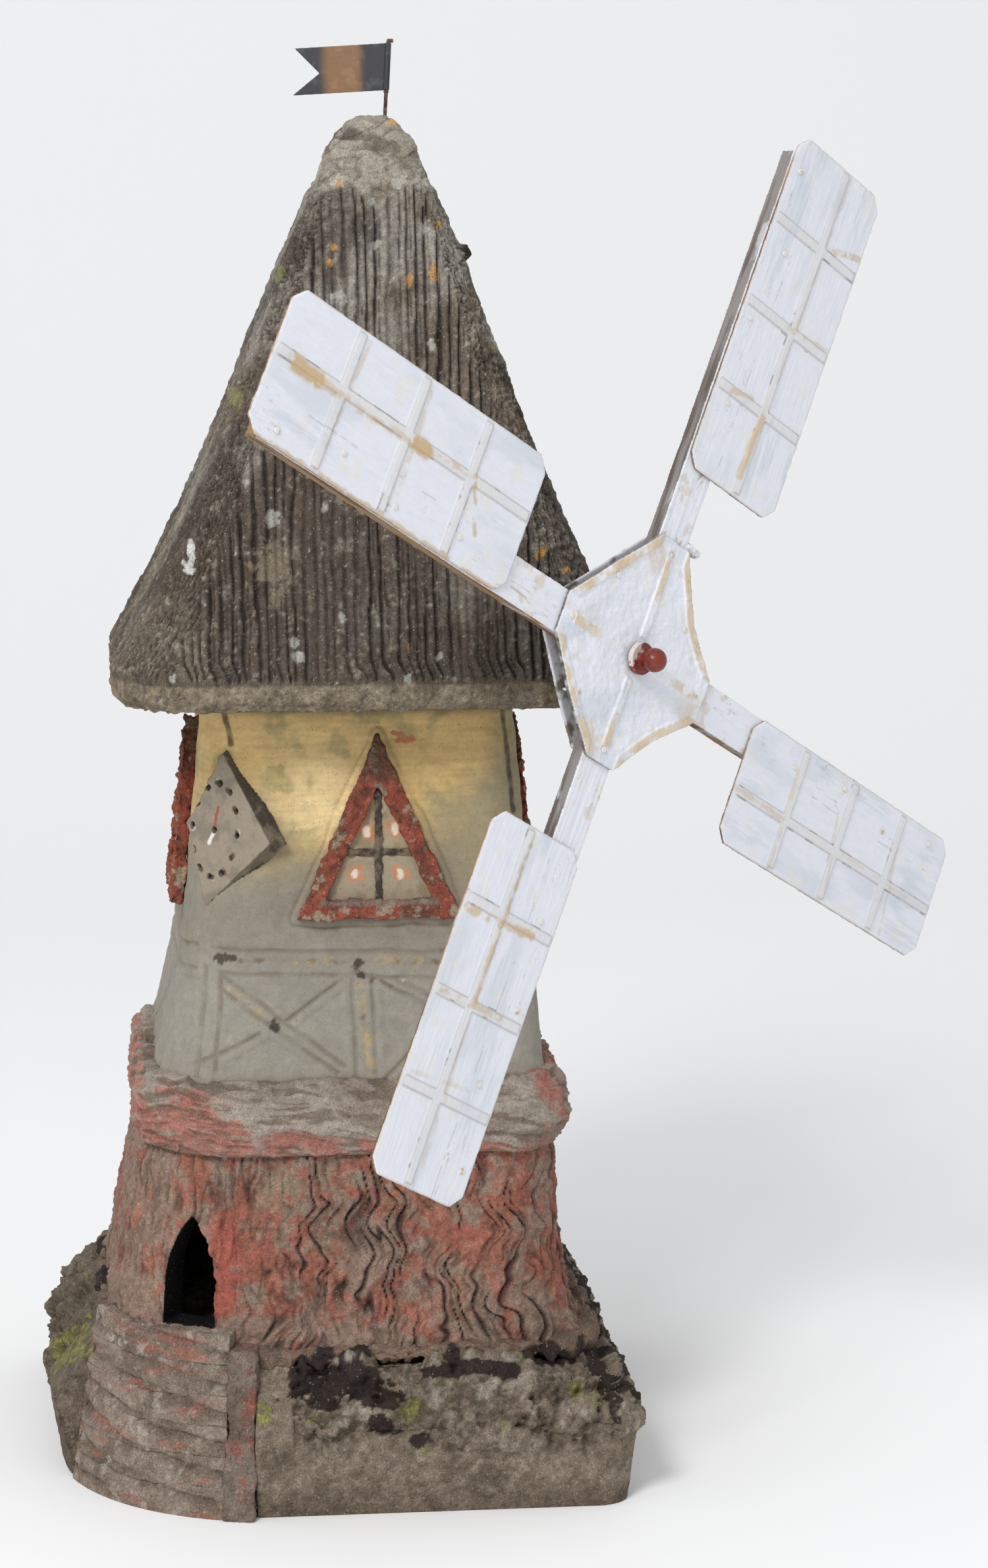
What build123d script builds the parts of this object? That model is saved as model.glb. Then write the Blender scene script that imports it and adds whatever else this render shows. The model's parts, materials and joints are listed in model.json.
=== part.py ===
from build123d import *

import os
from math import cos, pi, radians, sin

# A free-standing cast-concrete garden windmill: plinth with a corner stair, red lower storey,
# gallery ledge, timber-patterned upper storey, thatched roof, four-armed wooden sail cross on a
# corner axle, and a sheet-metal flag on a wire.
#
# Millimetres. +Z is up, -Y is the front (triangle window), the door, stair and clock are on the
# left-front corner and the sails on the right-front corner. The origin is on the ground, on the
# vertical line that the sail axle crosses.

# ---- Driving dimensions: heights of the castings ----
SKIRT_TOP = 72
PLINTH_TOP = 122
SILL_HEIGHT = 148
LEDGE_BOTTOM = 290
WALL_FOOT = 336
LEDGE_TOP = 350
WALL_FLARE_TOP = 440
WALL_TOP = 654
EAVE_BOTTOM = 662
ROOF_TOP = 1092
CAP_TOP = 1136
FLAG_TOP = 1200

# ---- Driving dimensions: wall thickness and hollow ----
LOWER_WALL = 30
UPPER_WALL = 26
ROOF_HOLLOW_HALF = 130
ROOF_HOLLOW_TOP_HALF = 24
ROOF_HOLLOW_TOP = 930
ROOF_EAVE_SHIFT = 8
ROOF_TOP_SHIFT = 15
ROOF_CORNER_SHARE = 0.36

# ---- Driving dimensions: corner stair and door ----
STAIR_CENTRE = (-73, -55)
STAIR_FOOT_RADIUS = 190
STAIR_TREAD = 5
STAIR_STEPS = 6
STAIR_INNER_RADIUS = 118
STAIR_POCKET_RADIUS = 260
STAIR_START_ANGLE = 17
STAIR_END_ANGLE = 70
CHEEK_START_ANGLE = 9
CHEEK_FOOT_RADIUS = 193
CHEEK_TOP_RADIUS = 168
CHEEK_HEIGHT = 136
DOOR_ANGLE = 26
DOOR_CENTRE = (-158, -187)
DOOR_WIDTH = 44
DOOR_HEIGHT = 90
DOOR_SPRING = 38
DOOR_HAUNCH = (15, 67.5)
DOOR_CUT = 110

# ---- Driving dimensions: windows, clock and bed joints ----
WINDOW_CENTRE_X = 8
WINDOW_BASE_Z = 481
WINDOW_HEIGHT = 152
WINDOW_HALF_WIDTH = 68
WINDOW_BASE_BAR = 16
WINDOW_SIDE_BAR = 23
WINDOW_APEX_BAR = 42
CROSS_BAR_HEIGHT = 55
FRONT_WINDOW_DEPTH = 9
SIDE_WINDOW_DEPTH = 12
MULLION_DEPTH = 4
MULLION_WIDTH = 7
CLOCK_ANGLE = 43
CLOCK_DISTANCE = 174
CLOCK_HEIGHT = 553
CLOCK_OFFSET = -10
CLOCK_TILT = 5
CLOCK_FACE = (31, 61, 64)
CLOCK_BACK = (40, 65, 72)
CLOCK_DEPTH = 16
CLOCK_RING = (24.5, 39)
CLOCK_HOLE = 2.5
SEAL_WIDTH = 9
SEAL_HEIGHT = 11

# ---- Driving dimensions: sail cross, measured along the axle from the origin's vertical ----
SAIL_ANGLE = 39.6
HUB_HEIGHT = 707
STOCK_BACK = 307
STOCK_THICKNESS = 13
STOCK_WIDTH = 36
STOCK_RADIUS = 444
FIRST_ARM_ANGLE = 28
SHEET_THICKNESS = 3
SAIL_RADIUS = 460
SAIL_ROOT = 162
SAIL_OUTER_EDGES = (100, 93, 92, 97)
SAIL_CORNER = 12
LATH_WIDTH = 8
LATH_HEIGHT = 1.4
LONG_LATH_OFFSET = 43
LATH_MARGIN = 4
HUB_CORNER_RADII = (101, 92, 90, 95)
HUB_MID_RADII = (72, 72, 80, 82)
HUB_CORNER_HALF_WIDTH = 17
BACK_PLATE_INSET = 4
HUB_NAIL_INSET = 11
HUB_RIDGE_START = 17
NAIL_SHANK = 1.2
NAIL_HEAD = 2.6
NAIL_HEAD_HEIGHT = 1
NAIL_POINT_COVER = 4
PANEL_NAILS = ((3, 226), (-5, 298), (8, 363), (-6, 430))
PEG_RADIUS = 3.5
PEG_LENGTH = 17

# ---- Driving dimensions: axle and knob ----
AXLE_RADIUS = 5
AXLE_BACK = 176
AXLE_STUD_RADIUS = 3
GROUT_RADIUS = 17
GROUT_BACK = 170
GROUT_FRONT = 266
BUSH_RADIUS = 8
BUSH_BACK_STAND = 2
BUSH_FRONT_STAND = 1
SPACER_WALL = 2.5
RUNNING_CLEARANCE = 0.05
END_PLAY = 0.4
REAR_WASHER_RADIUS = 13
FRONT_WASHER_RADIUS = 11
WASHER_THICKNESS = 2
KNOB_FLANGE_RADIUS = 13
KNOB_FLANGE_THICKNESS = 5
KNOB_NECK_RADIUS = 6
KNOB_BALL_RADIUS = 9.75
KNOB_BALL_DISTANCE = 17
KNOB_STUD_COVER = 7.75

# ---- Driving dimensions: flag ----
POLE_RADIUS = 1.6
POLE_FOOT = (26, 0, 1118)
POLE_LEAN = 3
POLE_BEND = 4
POLE_SWELL = 0.7
POLE_SWELL_HEIGHT = 1.7
FLAG_PLAY = 0.3
FLAG_LENGTH = 79
FLAG_WIDTH = 39
FLAG_NOTCH = 22
FLAG_DROOP = 6
FLAG_TURN = 12
FLAG_THICKNESS = 0.8
FLAG_SLEEVE_WALL = 0.9

STOCK_FRONT = STOCK_BACK + STOCK_THICKNESS
SHEET_FRONT = STOCK_FRONT + SHEET_THICKNESS


# ---- Shared geometry ----
def plan(x_low, x_high, y_half, corner, door_corner, height):
    """Rounded rectangle in plan; the left-front corner, with the door, has its own radius."""
    outline = Pos((x_low + x_high) / 2, 0) * Rectangle(x_high - x_low, 2 * y_half)
    by_diagonal = outline.vertices().sort_by(Axis((0, 0, 0), (1, 1, 0)))
    outline = fillet(by_diagonal[0], door_corner)
    by_diagonal = outline.vertices().sort_by(Axis((0, 0, 0), (1, 1, 0)))
    outline = fillet(by_diagonal[-3:], corner)
    return Pos(0, 0, height) * outline


def casting(sections):
    """Solid through a stack of plan sections, with straight flanks between them."""
    return loft([plan(*section) for section in sections], ruled=True)


def shrink(section, wall):
    """The same plan section moved inwards by a wall thickness."""
    x_low, x_high, y_half, corner, door_corner, height = section
    return (x_low + wall, x_high - wall, y_half - wall, corner - wall / 2, door_corner - wall / 2, height)


def rod(radius, start, end):
    """Round bar along Z between two heights."""
    return Pos(0, 0, start) * Cylinder(radius, end - start, align=(Align.CENTER, Align.CENTER, Align.MIN))


def tube(outer, inner, start, end):
    return rod(outer, start, end) - rod(inner, start, end)


def sector(start_angle, end_angle, radius, height):
    """Wedge about the stair centre; angles open from the front (-Y) towards the left (-X)."""
    steps = 6
    turn = (end_angle - start_angle) / steps
    angles = [radians(start_angle + turn * step) for step in range(steps + 1)]
    reach = radius / cos(radians(turn / 2))
    rim = [(-reach * sin(angle), -reach * cos(angle)) for angle in angles]
    wedge = make_face(Polyline((0, 0), *rim, close=True))
    return Pos(*STAIR_CENTRE) * extrude(wedge, amount=height)


def save(shape, node):
    shape.label = node
    export_step(shape, f"parts/{node}.step")


def save_set(shapes, node):
    """Several like pieces of the sail cross that share one node, each its own solid."""
    save(Compound([(SAIL * shape).solid() for shape in shapes]), node)


# ---- Plan sections of the castings: x low, x high, y half, corner radius, door corner, z ----
PLINTH = [
    (-259, 209, 234, 26, 172, 0),
    (-271, 219, 238, 32, 150, SKIRT_TOP),
    (-226, 187, 207, 60, 112, PLINTH_TOP),
]
LOWER_STOREY = [
    (-219, 180, 198, 60, 105, PLINTH_TOP),
    (-216, 167, 192, 58, 103, 150),
    (-205, 158, 186, 55, 100, 215),
    (-188, 154, 179, 50, 95, LEDGE_BOTTOM),
]
LEDGE = [
    (-190, 157, 184, 50, 92, LEDGE_BOTTOM),
    (-196, 168, 190, 50, 92, 312),
    (-195, 164, 186, 50, 90, WALL_FOOT),
    (-184, 152, 170, 42, 78, LEDGE_TOP),
]
UPPER_STOREY = [
    (-178, 148, 165, 40, 74, WALL_FOOT),
    (-155, 141, 150, 38, 71, WALL_FLARE_TOP),
    (-132, 124, 132, 34, 66, WALL_TOP),
]


def roof_section(half, height):
    """Square roof section with corners in proportion; the roof leans a little to the right."""
    rise = (height - EAVE_BOTTOM) / (ROOF_TOP - EAVE_BOTTOM)
    shift = ROOF_EAVE_SHIFT + rise * (ROOF_TOP_SHIFT - ROOF_EAVE_SHIFT)
    corner = ROOF_CORNER_SHARE * half
    return (shift - half, shift + half, half, corner, corner, height)


ROOF = [
    roof_section(208, EAVE_BOTTOM),
    roof_section(215, 670),
    roof_section(217, 684),
    roof_section(207, 701),
    roof_section(177, 757),
    roof_section(149, 820),
    roof_section(129, 868),
    roof_section(100, 945),
    roof_section(72, 1019),
    roof_section(42, ROOF_TOP),
]
CAP = [
    roof_section(42, ROOF_TOP),
    roof_section(33, 1115),
    roof_section(19, 1130),
    roof_section(10, CAP_TOP),
]


# ---- Plinth, stair and seal ----
def stair_core():
    """The round of the plinth that the steps wind about."""
    return Pos(*STAIR_CENTRE) * rod(STAIR_INNER_RADIUS, 0, PLINTH_TOP)


def base_plinth():
    pocket = sector(CHEEK_START_ANGLE, STAIR_END_ANGLE, STAIR_POCKET_RADIUS, PLINTH_TOP)
    return casting(PLINTH) - (pocket - stair_core())


def stair_flight():
    """Six shallow winding steps, each drawn in by one tread from the one below."""
    rise = SILL_HEIGHT / STAIR_STEPS
    flight = Part()
    for step in range(STAIR_STEPS):
        radius = STAIR_FOOT_RADIUS - STAIR_TREAD * step
        layer = sector(STAIR_START_ANGLE, STAIR_END_ANGLE, radius, rise)
        flight += Pos(0, 0, rise * step) * layer
    return without_centre(flight)


def stair_cheek():
    """Narrow kerb that closes the right-hand side of the stair."""
    on_ground = (Align.CENTER, Align.CENTER, Align.MIN)
    cone = Pos(*STAIR_CENTRE) * Cone(CHEEK_FOOT_RADIUS, CHEEK_TOP_RADIUS, CHEEK_HEIGHT, align=on_ground)
    kerb = sector(CHEEK_START_ANGLE, STAIR_START_ANGLE, STAIR_POCKET_RADIUS, CHEEK_HEIGHT)
    return without_centre(cone & kerb)


def without_centre(flight):
    """Leaves room for the plinth's core below and for the lower storey above."""
    inside = casting([shrink(section, LOWER_WALL) for section in LOWER_STOREY])
    return flight - stair_core() - (casting(LOWER_STOREY) + inside)


def bitumen_seal():
    """Black bead run round the foot of the lower storey, left open at the stair."""
    x_low, x_high, y_half, corner, door_corner, _ = LOWER_STOREY[0]
    foot = plan(x_low - SEAL_WIDTH, x_high + SEAL_WIDTH, y_half + SEAL_WIDTH, corner, door_corner, PLINTH_TOP)
    bead = extrude(foot, amount=SEAL_HEIGHT)
    stair = sector(CHEEK_START_ANGLE, STAIR_END_ANGLE, STAIR_POCKET_RADIUS, PLINTH_TOP + SEAL_HEIGHT)
    plinth_top = extrude(plan(*PLINTH[-1]), amount=SEAL_HEIGHT)
    return (bead & plinth_top) - casting(LOWER_STOREY) - stair


# ---- Storeys and ledge ----
def door_cutter():
    """Narrow pointed arch, straight below and curved to a point above."""
    half = DOOR_WIDTH / 2
    x, z = DOOR_HAUNCH
    jambs = Polyline((-half, DOOR_SPRING), (-half, 0), (half, 0), (half, DOOR_SPRING))
    right = ThreePointArc((half, DOOR_SPRING), (x, z), (0, DOOR_HEIGHT))
    left = ThreePointArc((0, DOOR_HEIGHT), (-x, z), (-half, DOOR_SPRING))
    angle = radians(DOOR_ANGLE)
    outward = (-sin(angle), -cos(angle), 0)
    sideways = (cos(angle), -sin(angle), 0)
    wall = Plane(origin=(*DOOR_CENTRE, SILL_HEIGHT), x_dir=sideways, z_dir=outward)
    return extrude(wall * make_face([*jambs.edges(), right, left]), amount=DOOR_CUT, both=True)


def lower_storey():
    inside = casting([shrink(section, LOWER_WALL) for section in LOWER_STOREY])
    return casting(LOWER_STOREY) - inside - door_cutter()


def gallery_ledge():
    """Ledge slab between the storeys, with a mortar fillet running up the wall above it."""
    inside = plan(*shrink(LOWER_STOREY[-1], LOWER_WALL))
    return casting(LEDGE) - extrude(inside, amount=LEDGE_TOP) - casting(UPPER_STOREY)


def upper_storey():
    inside = casting([shrink(section, UPPER_WALL) for section in UPPER_STOREY])
    return casting(UPPER_STOREY) - inside - clock_body()


def mortar_bed():
    """Bed joint that carries the roof on the head of the upper storey."""
    head = extrude(plan(*UPPER_STOREY[-1]), amount=EAVE_BOTTOM - WALL_TOP)
    inside = extrude(plan(*shrink(UPPER_STOREY[-1], UPPER_WALL)), amount=EAVE_BOTTOM - WALL_TOP)
    return head - inside


# ---- Windows and clock ----
def wall_plane(outward, foot, head):
    """Plane on one leaning wall; its origin is on the wall's centre line at the window sill."""
    lean = (head - foot) / (WALL_TOP - WALL_FLARE_TOP)
    distance = foot + lean * (WINDOW_BASE_Z - WALL_FLARE_TOP)
    x, y = outward
    return Plane(origin=(distance * x, distance * y, WINDOW_BASE_Z), x_dir=(-y, x, 0), z_dir=(x, y, -lean))


FRONT_WALL = wall_plane((0, -1), UPPER_STOREY[1][2], UPPER_STOREY[2][2])
REAR_WALL = wall_plane((0, 1), UPPER_STOREY[1][2], UPPER_STOREY[2][2])
LEFT_WALL = wall_plane((-1, 0), -UPPER_STOREY[1][0], -UPPER_STOREY[2][0])
RIGHT_WALL = wall_plane((1, 0), UPPER_STOREY[1][1], UPPER_STOREY[2][1])


def window_openings():
    """Outer triangle of a window surround and the smaller one inside it."""
    outer = make_face(Polyline((-WINDOW_HALF_WIDTH, 0), (WINDOW_HALF_WIDTH, 0), (0, WINDOW_HEIGHT), close=True))
    half = WINDOW_HALF_WIDTH - WINDOW_SIDE_BAR
    apex = WINDOW_HEIGHT - WINDOW_APEX_BAR
    inner = make_face(Polyline((-half, WINDOW_BASE_BAR), (half, WINDOW_BASE_BAR), (0, apex), close=True))
    return outer, inner


def window_frame(wall, shift, depth):
    outer, inner = window_openings()
    return extrude(wall * (Pos(shift, 0) * (outer - inner)), amount=depth)


def window_bars():
    """Upright and cross bar inside the front window, joined as one casting."""
    _, inner = window_openings()
    upright = Pos(0, WINDOW_HEIGHT / 2) * Rectangle(MULLION_WIDTH, WINDOW_HEIGHT)
    cross = Pos(0, CROSS_BAR_HEIGHT) * Rectangle(2 * WINDOW_HALF_WIDTH, MULLION_WIDTH)
    bars = (upright + cross) & inner
    return extrude(FRONT_WALL * (Pos(WINDOW_CENTRE_X, 0) * bars), amount=MULLION_DEPTH)


def clock_plane():
    angle = radians(CLOCK_ANGLE)
    lean = (UPPER_STOREY[2][2] - UPPER_STOREY[1][2]) / (WALL_TOP - WALL_FLARE_TOP)
    outward = (-sin(angle), -cos(angle), -lean)
    centre = (-CLOCK_DISTANCE * sin(angle), -CLOCK_DISTANCE * cos(angle), CLOCK_HEIGHT)
    corner = Plane(origin=centre, x_dir=(cos(angle), -sin(angle), 0), z_dir=outward)
    return Plane(corner.location * Pos(CLOCK_OFFSET, 0) * Rot(0, 0, -CLOCK_TILT))


def lozenge(reaches):
    """Kite with its left, right and upright corners at these distances from the middle."""
    left, right, upright = reaches
    return make_face(Polyline((-left, 0), (0, -upright), (right, 0), (0, upright), close=True))


def clock_body():
    """Lozenge tile with bevelled sides, let into the rounded corner."""
    face = clock_plane()
    return loft([face.offset(-CLOCK_DEPTH) * lozenge(CLOCK_BACK), face * lozenge(CLOCK_FACE)])


def clock_panel():
    """The tile with a ring of twelve hour holes and one in the middle for the hands."""
    ring = [(CLOCK_RING[0] * sin(hour * pi / 6), CLOCK_RING[1] * cos(hour * pi / 6)) for hour in range(12)]
    holes = Sketch() + [Pos(*spot) * Circle(CLOCK_HOLE) for spot in [*ring, (0, 0)]]
    return clock_body() - extrude(clock_plane() * holes, amount=-CLOCK_DEPTH)


# ---- Roof ----
def axle_grout_body():
    return rod(GROUT_RADIUS, GROUT_BACK, GROUT_FRONT)


def roof_shell():
    """Hollow thatch-patterned pyramid with a thick rim."""
    mouth = roof_section(ROOF_HOLLOW_HALF, EAVE_BOTTOM)
    hollow = casting([mouth, roof_section(ROOF_HOLLOW_TOP_HALF, ROOF_HOLLOW_TOP)])
    return casting(ROOF) - hollow - SAIL * axle_grout_body()


def roof_cap():
    return casting(CAP) - pole_axis() * rod(POLE_RADIUS, 0, POLE_LENGTH)


# ---- Flag ----
def pole_axis():
    """Frame at the wire's foot with +Z up the leaning wire."""
    return Plane(origin=POLE_FOOT, x_dir=(1, 0, 0), z_dir=(sin(radians(POLE_LEAN)), 0, cos(radians(POLE_LEAN))))


POLE_LENGTH = (FLAG_TOP - POLE_FOOT[2]) / cos(radians(POLE_LEAN)) - POLE_RADIUS
FLAG_TOP_END = POLE_LENGTH - POLE_RADIUS - FLAG_PLAY
FLAG_BOTTOM_END = FLAG_TOP_END - FLAG_WIDTH


def flag_pole():
    """Wire with a pinched swell that the flag rests on and a bent-over top that keeps it on."""
    wire = rod(POLE_RADIUS, 0, POLE_LENGTH)
    bend = Pos(0, 0, POLE_LENGTH) * (Rot(0, 90, 0) * rod(POLE_RADIUS, 0, POLE_BEND))
    elbow = Pos(0, 0, POLE_LENGTH) * Sphere(POLE_RADIUS)
    seat = FLAG_BOTTOM_END - FLAG_PLAY
    swell = rod(POLE_RADIUS + POLE_SWELL, seat - POLE_SWELL_HEIGHT, seat)
    return pole_axis() * (wire + elbow + bend + swell)


def flag_sheet():
    """Swallow-tailed sheet rolled round the wire at its hoist."""
    sleeve_bore = POLE_RADIUS + RUNNING_CLEARANCE
    sleeve = tube(sleeve_bore + FLAG_SLEEVE_WALL, sleeve_bore, FLAG_BOTTOM_END, FLAG_TOP_END)
    drop = FLAG_LENGTH * sin(radians(FLAG_DROOP))
    fly = Polyline(
        (0, FLAG_BOTTOM_END),
        (0, FLAG_TOP_END),
        (-FLAG_LENGTH, FLAG_TOP_END - drop),
        (-FLAG_LENGTH + FLAG_NOTCH, (FLAG_TOP_END + FLAG_BOTTOM_END) / 2 - drop),
        (-FLAG_LENGTH, FLAG_BOTTOM_END - drop),
        close=True,
    )
    sheet = extrude(Plane.XZ * make_face(fly), amount=FLAG_THICKNESS / 2, both=True)
    flag = sleeve + (sheet - rod(sleeve_bore, 0, POLE_LENGTH))
    return pole_axis() * (Rot(0, 0, -FLAG_TURN) * flag)


# ---- Sail cross: local +Z runs out along the axle, +Y is up ----
SAIL = Plane(
    origin=(0, 0, HUB_HEIGHT),
    x_dir=(cos(radians(SAIL_ANGLE)), sin(radians(SAIL_ANGLE)), 0),
    z_dir=(sin(radians(SAIL_ANGLE)), -cos(radians(SAIL_ANGLE)), 0),
)


def arm(index):
    """Turns a shape drawn on an upright arm (+Y outwards, +X clockwise) to one of four arms."""
    return Rot(0, 0, -(FIRST_ARM_ANGLE + 90 * index))


def slab(low, high, back, front):
    """Box from low (x, y) to high (x, y), between two distances along the axle."""
    size = (high[0] - low[0], high[1] - low[1], front - back)
    return Pos(*low, back) * Box(*size, align=(Align.MIN, Align.MIN, Align.MIN))


def hub_outline(inset=0):
    """Four truncated corners on the arms, with slightly hollow sides between them."""
    points = []
    for index in range(4):
        along = radians(FIRST_ARM_ANGLE + 90 * index)
        corner = HUB_CORNER_RADII[index] - inset
        for side in (-HUB_CORNER_HALF_WIDTH, HUB_CORNER_HALF_WIDTH):
            x = corner * sin(along) + side * cos(along)
            y = corner * cos(along) - side * sin(along)
            points.append((x, y))
        points.append(between_arms(index, HUB_MID_RADII[index] - inset))
    return make_face(Polyline(*points, close=True))


def between_arms(index, radius):
    """Point at a radius, half-way round from one arm to the next."""
    angle = radians(FIRST_ARM_ANGLE + 90 * index + 45)
    return (radius * sin(angle), radius * cos(angle))


def nail(x, y, point=STOCK_BACK + NAIL_POINT_COVER):
    """Round-headed nail driven from the front face to the depth of its point."""
    head = Pos(x, y) * rod(NAIL_HEAD, SHEET_FRONT, SHEET_FRONT + NAIL_HEAD_HEIGHT)
    shank = Pos(x, y) * rod(NAIL_SHANK, point, SHEET_FRONT)
    return head + shank


def panel_nail_set():
    return [arm(index) * nail(*spot) for index in range(4) for spot in PANEL_NAILS]


def hub_nail_set():
    """One nail into each arm, and one between arms that ties the front plate to the back plate."""
    nails = []
    for index in range(4):
        nails.append(arm(index) * nail(0, HUB_CORNER_RADII[index] - HUB_NAIL_INSET))
        spot = between_arms(index, HUB_MID_RADII[index] - HUB_NAIL_INSET)
        nails.append(nail(*spot, point=STOCK_BACK - SHEET_THICKNESS))
    return nails


def stock(index, notch_back, notch_front):
    """Full-length stock, halved where it crosses the other one."""
    half = STOCK_WIDTH / 2
    beam = slab((-half, -STOCK_RADIUS), (half, STOCK_RADIUS), STOCK_BACK, STOCK_FRONT)
    notch = slab((-half, -half), (half, half), notch_back, notch_front)
    timber = arm(index) * (beam - notch) - rod(BUSH_RADIUS, STOCK_BACK, STOCK_FRONT)
    return timber - panel_nail_set() - hub_nail_set()


def sail_panel(index):
    """Thin board nailed to the front of a stock, with its corners cut off."""
    low = (-STOCK_WIDTH / 2, SAIL_ROOT)
    board = slab(low, (SAIL_OUTER_EDGES[index], SAIL_RADIUS), STOCK_FRONT, SHEET_FRONT)
    board = chamfer(board.edges().filter_by(Axis.Z), SAIL_CORNER)
    return arm(index) * board - panel_nail_set()


def long_lath(index):
    low = (LONG_LATH_OFFSET, SAIL_ROOT + LATH_MARGIN)
    high = (LONG_LATH_OFFSET + LATH_WIDTH, SAIL_RADIUS - LATH_MARGIN)
    return arm(index) * slab(low, high, SHEET_FRONT, SHEET_FRONT + LATH_HEIGHT)


def cross_laths(index):
    """Three cross laths, each in two lengths that butt against the long one."""
    spans = [
        (-STOCK_WIDTH / 2 + LATH_MARGIN, LONG_LATH_OFFSET),
        (LONG_LATH_OFFSET + LATH_WIDTH, SAIL_OUTER_EDGES[index] - LATH_MARGIN),
    ]
    laths = []
    for quarter in (1, 2, 3):
        middle = SAIL_ROOT + quarter * (SAIL_RADIUS - SAIL_ROOT) / 4
        for start, end in spans:
            low = (start, middle - LATH_WIDTH / 2)
            high = (end, middle + LATH_WIDTH / 2)
            laths.append(arm(index) * slab(low, high, SHEET_FRONT, SHEET_FRONT + LATH_HEIGHT))
    return laths


def hub_plate():
    plate = Pos(0, 0, STOCK_FRONT) * extrude(hub_outline(), amount=SHEET_THICKNESS)
    return plate - rod(BUSH_RADIUS, STOCK_FRONT, SHEET_FRONT) - hub_nail_set()


def hub_border_strips():
    """Four raised strips, one along each hollow side of the hub plate."""
    outline = hub_outline()
    rim = outline - offset(outline, -LATH_WIDTH)
    for index in range(2):
        rim -= arm(index) * Rectangle(2 * HUB_CORNER_HALF_WIDTH, 2 * STOCK_RADIUS)
    strips = Pos(0, 0, SHEET_FRONT) * extrude(rim, amount=LATH_HEIGHT)
    for hub_nail in hub_nail_set():
        strips -= hub_nail
    return strips.solids()


def hub_ridge_strips():
    """Four raised strips that run from the boss out along the arms."""
    half = LATH_WIDTH / 2
    ridges = []
    for index, corner in enumerate(HUB_CORNER_RADII):
        end = corner - HUB_NAIL_INSET - NAIL_HEAD - 1
        ridge = slab((-half, HUB_RIDGE_START), (half, end), SHEET_FRONT, SHEET_FRONT + LATH_HEIGHT)
        ridges.append(arm(index) * ridge)
    return ridges


def hub_back_plate():
    back = STOCK_BACK - SHEET_THICKNESS
    plate = Pos(0, 0, back) * extrude(hub_outline(BACK_PLATE_INSET), amount=SHEET_THICKNESS)
    return plate - rod(BUSH_RADIUS, back, STOCK_BACK) - hub_nail_set()


def hub_peg():
    """Small peg lying across the hub plate's corner beside the first arm."""
    dowel = Rot(0, 90, 0) * rod(PEG_RADIUS, STOCK_WIDTH / 2, STOCK_WIDTH / 2 + PEG_LENGTH)
    return arm(0) * (Pos(0, HUB_CORNER_RADII[0] + PEG_RADIUS, STOCK_FRONT - PEG_RADIUS) * dowel)


# ---- Axle parts, in the sail frame ----
BUSH_BACK = STOCK_BACK - SHEET_THICKNESS - BUSH_BACK_STAND
BUSH_FRONT = SHEET_FRONT + BUSH_FRONT_STAND
KNOB_BACK = BUSH_FRONT + END_PLAY + WASHER_THICKNESS
KNOB_BALL_CENTRE = KNOB_BACK + KNOB_BALL_DISTANCE
SPACER_FRONT = BUSH_BACK - END_PLAY - WASHER_THICKNESS
AXLE_FRONT = KNOB_BALL_CENTRE + KNOB_BALL_RADIUS - KNOB_STUD_COVER


def axle():
    """Steel rod grouted into the roof, turned down to a stud for the knob."""
    return rod(AXLE_RADIUS, AXLE_BACK, KNOB_BACK) + rod(AXLE_STUD_RADIUS, KNOB_BACK, AXLE_FRONT)


def axle_grout():
    return axle_grout_body() - rod(AXLE_RADIUS, AXLE_BACK, GROUT_FRONT)


def axle_spacer():
    """Distance tube that holds the sails clear of the eave."""
    return tube(AXLE_RADIUS + SPACER_WALL, AXLE_RADIUS, GROUT_FRONT, SPACER_FRONT)


def rear_washer():
    return tube(REAR_WASHER_RADIUS, AXLE_RADIUS, SPACER_FRONT, SPACER_FRONT + WASHER_THICKNESS)


def hub_bush():
    return tube(BUSH_RADIUS, AXLE_RADIUS + RUNNING_CLEARANCE, BUSH_BACK, BUSH_FRONT)


def front_washer():
    return tube(FRONT_WASHER_RADIUS, AXLE_RADIUS, KNOB_BACK - WASHER_THICKNESS, KNOB_BACK)


def axle_knob():
    """Turned knob: flange, waist and ball, screwed on the end of the axle."""
    flange = rod(KNOB_FLANGE_RADIUS, KNOB_BACK, KNOB_BACK + KNOB_FLANGE_THICKNESS)
    waist = rod(KNOB_NECK_RADIUS, KNOB_BACK, KNOB_BALL_CENTRE)
    ball = Pos(0, 0, KNOB_BALL_CENTRE) * Sphere(KNOB_BALL_RADIUS)
    return flange + waist + ball - rod(AXLE_STUD_RADIUS, KNOB_BACK, AXLE_FRONT)


# ---- Write every piece ----
os.makedirs("parts", exist_ok=True)

save(base_plinth(), "base_plinth")
save(stair_flight(), "stair_flight")
save(stair_cheek(), "stair_cheek")
save(bitumen_seal(), "bitumen_seal")
save(lower_storey(), "lower_storey")
save(gallery_ledge(), "gallery_ledge")
save(upper_storey(), "upper_storey")
save(mortar_bed(), "mortar_bed")
save(window_frame(FRONT_WALL, WINDOW_CENTRE_X, FRONT_WINDOW_DEPTH), "front_window_frame")
save(window_bars(), "front_window_bars")
save(window_frame(LEFT_WALL, 0, SIDE_WINDOW_DEPTH), "left_window_frame")
save(window_frame(RIGHT_WALL, 0, SIDE_WINDOW_DEPTH), "right_window_frame")
save(window_frame(REAR_WALL, 0, FRONT_WINDOW_DEPTH), "rear_window_frame")
save(clock_panel(), "clock_panel")
save(roof_shell(), "roof_shell")
save(roof_cap(), "roof_cap")
save(flag_pole(), "flag_pole")
save(flag_sheet(), "flag_sheet")

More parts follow.
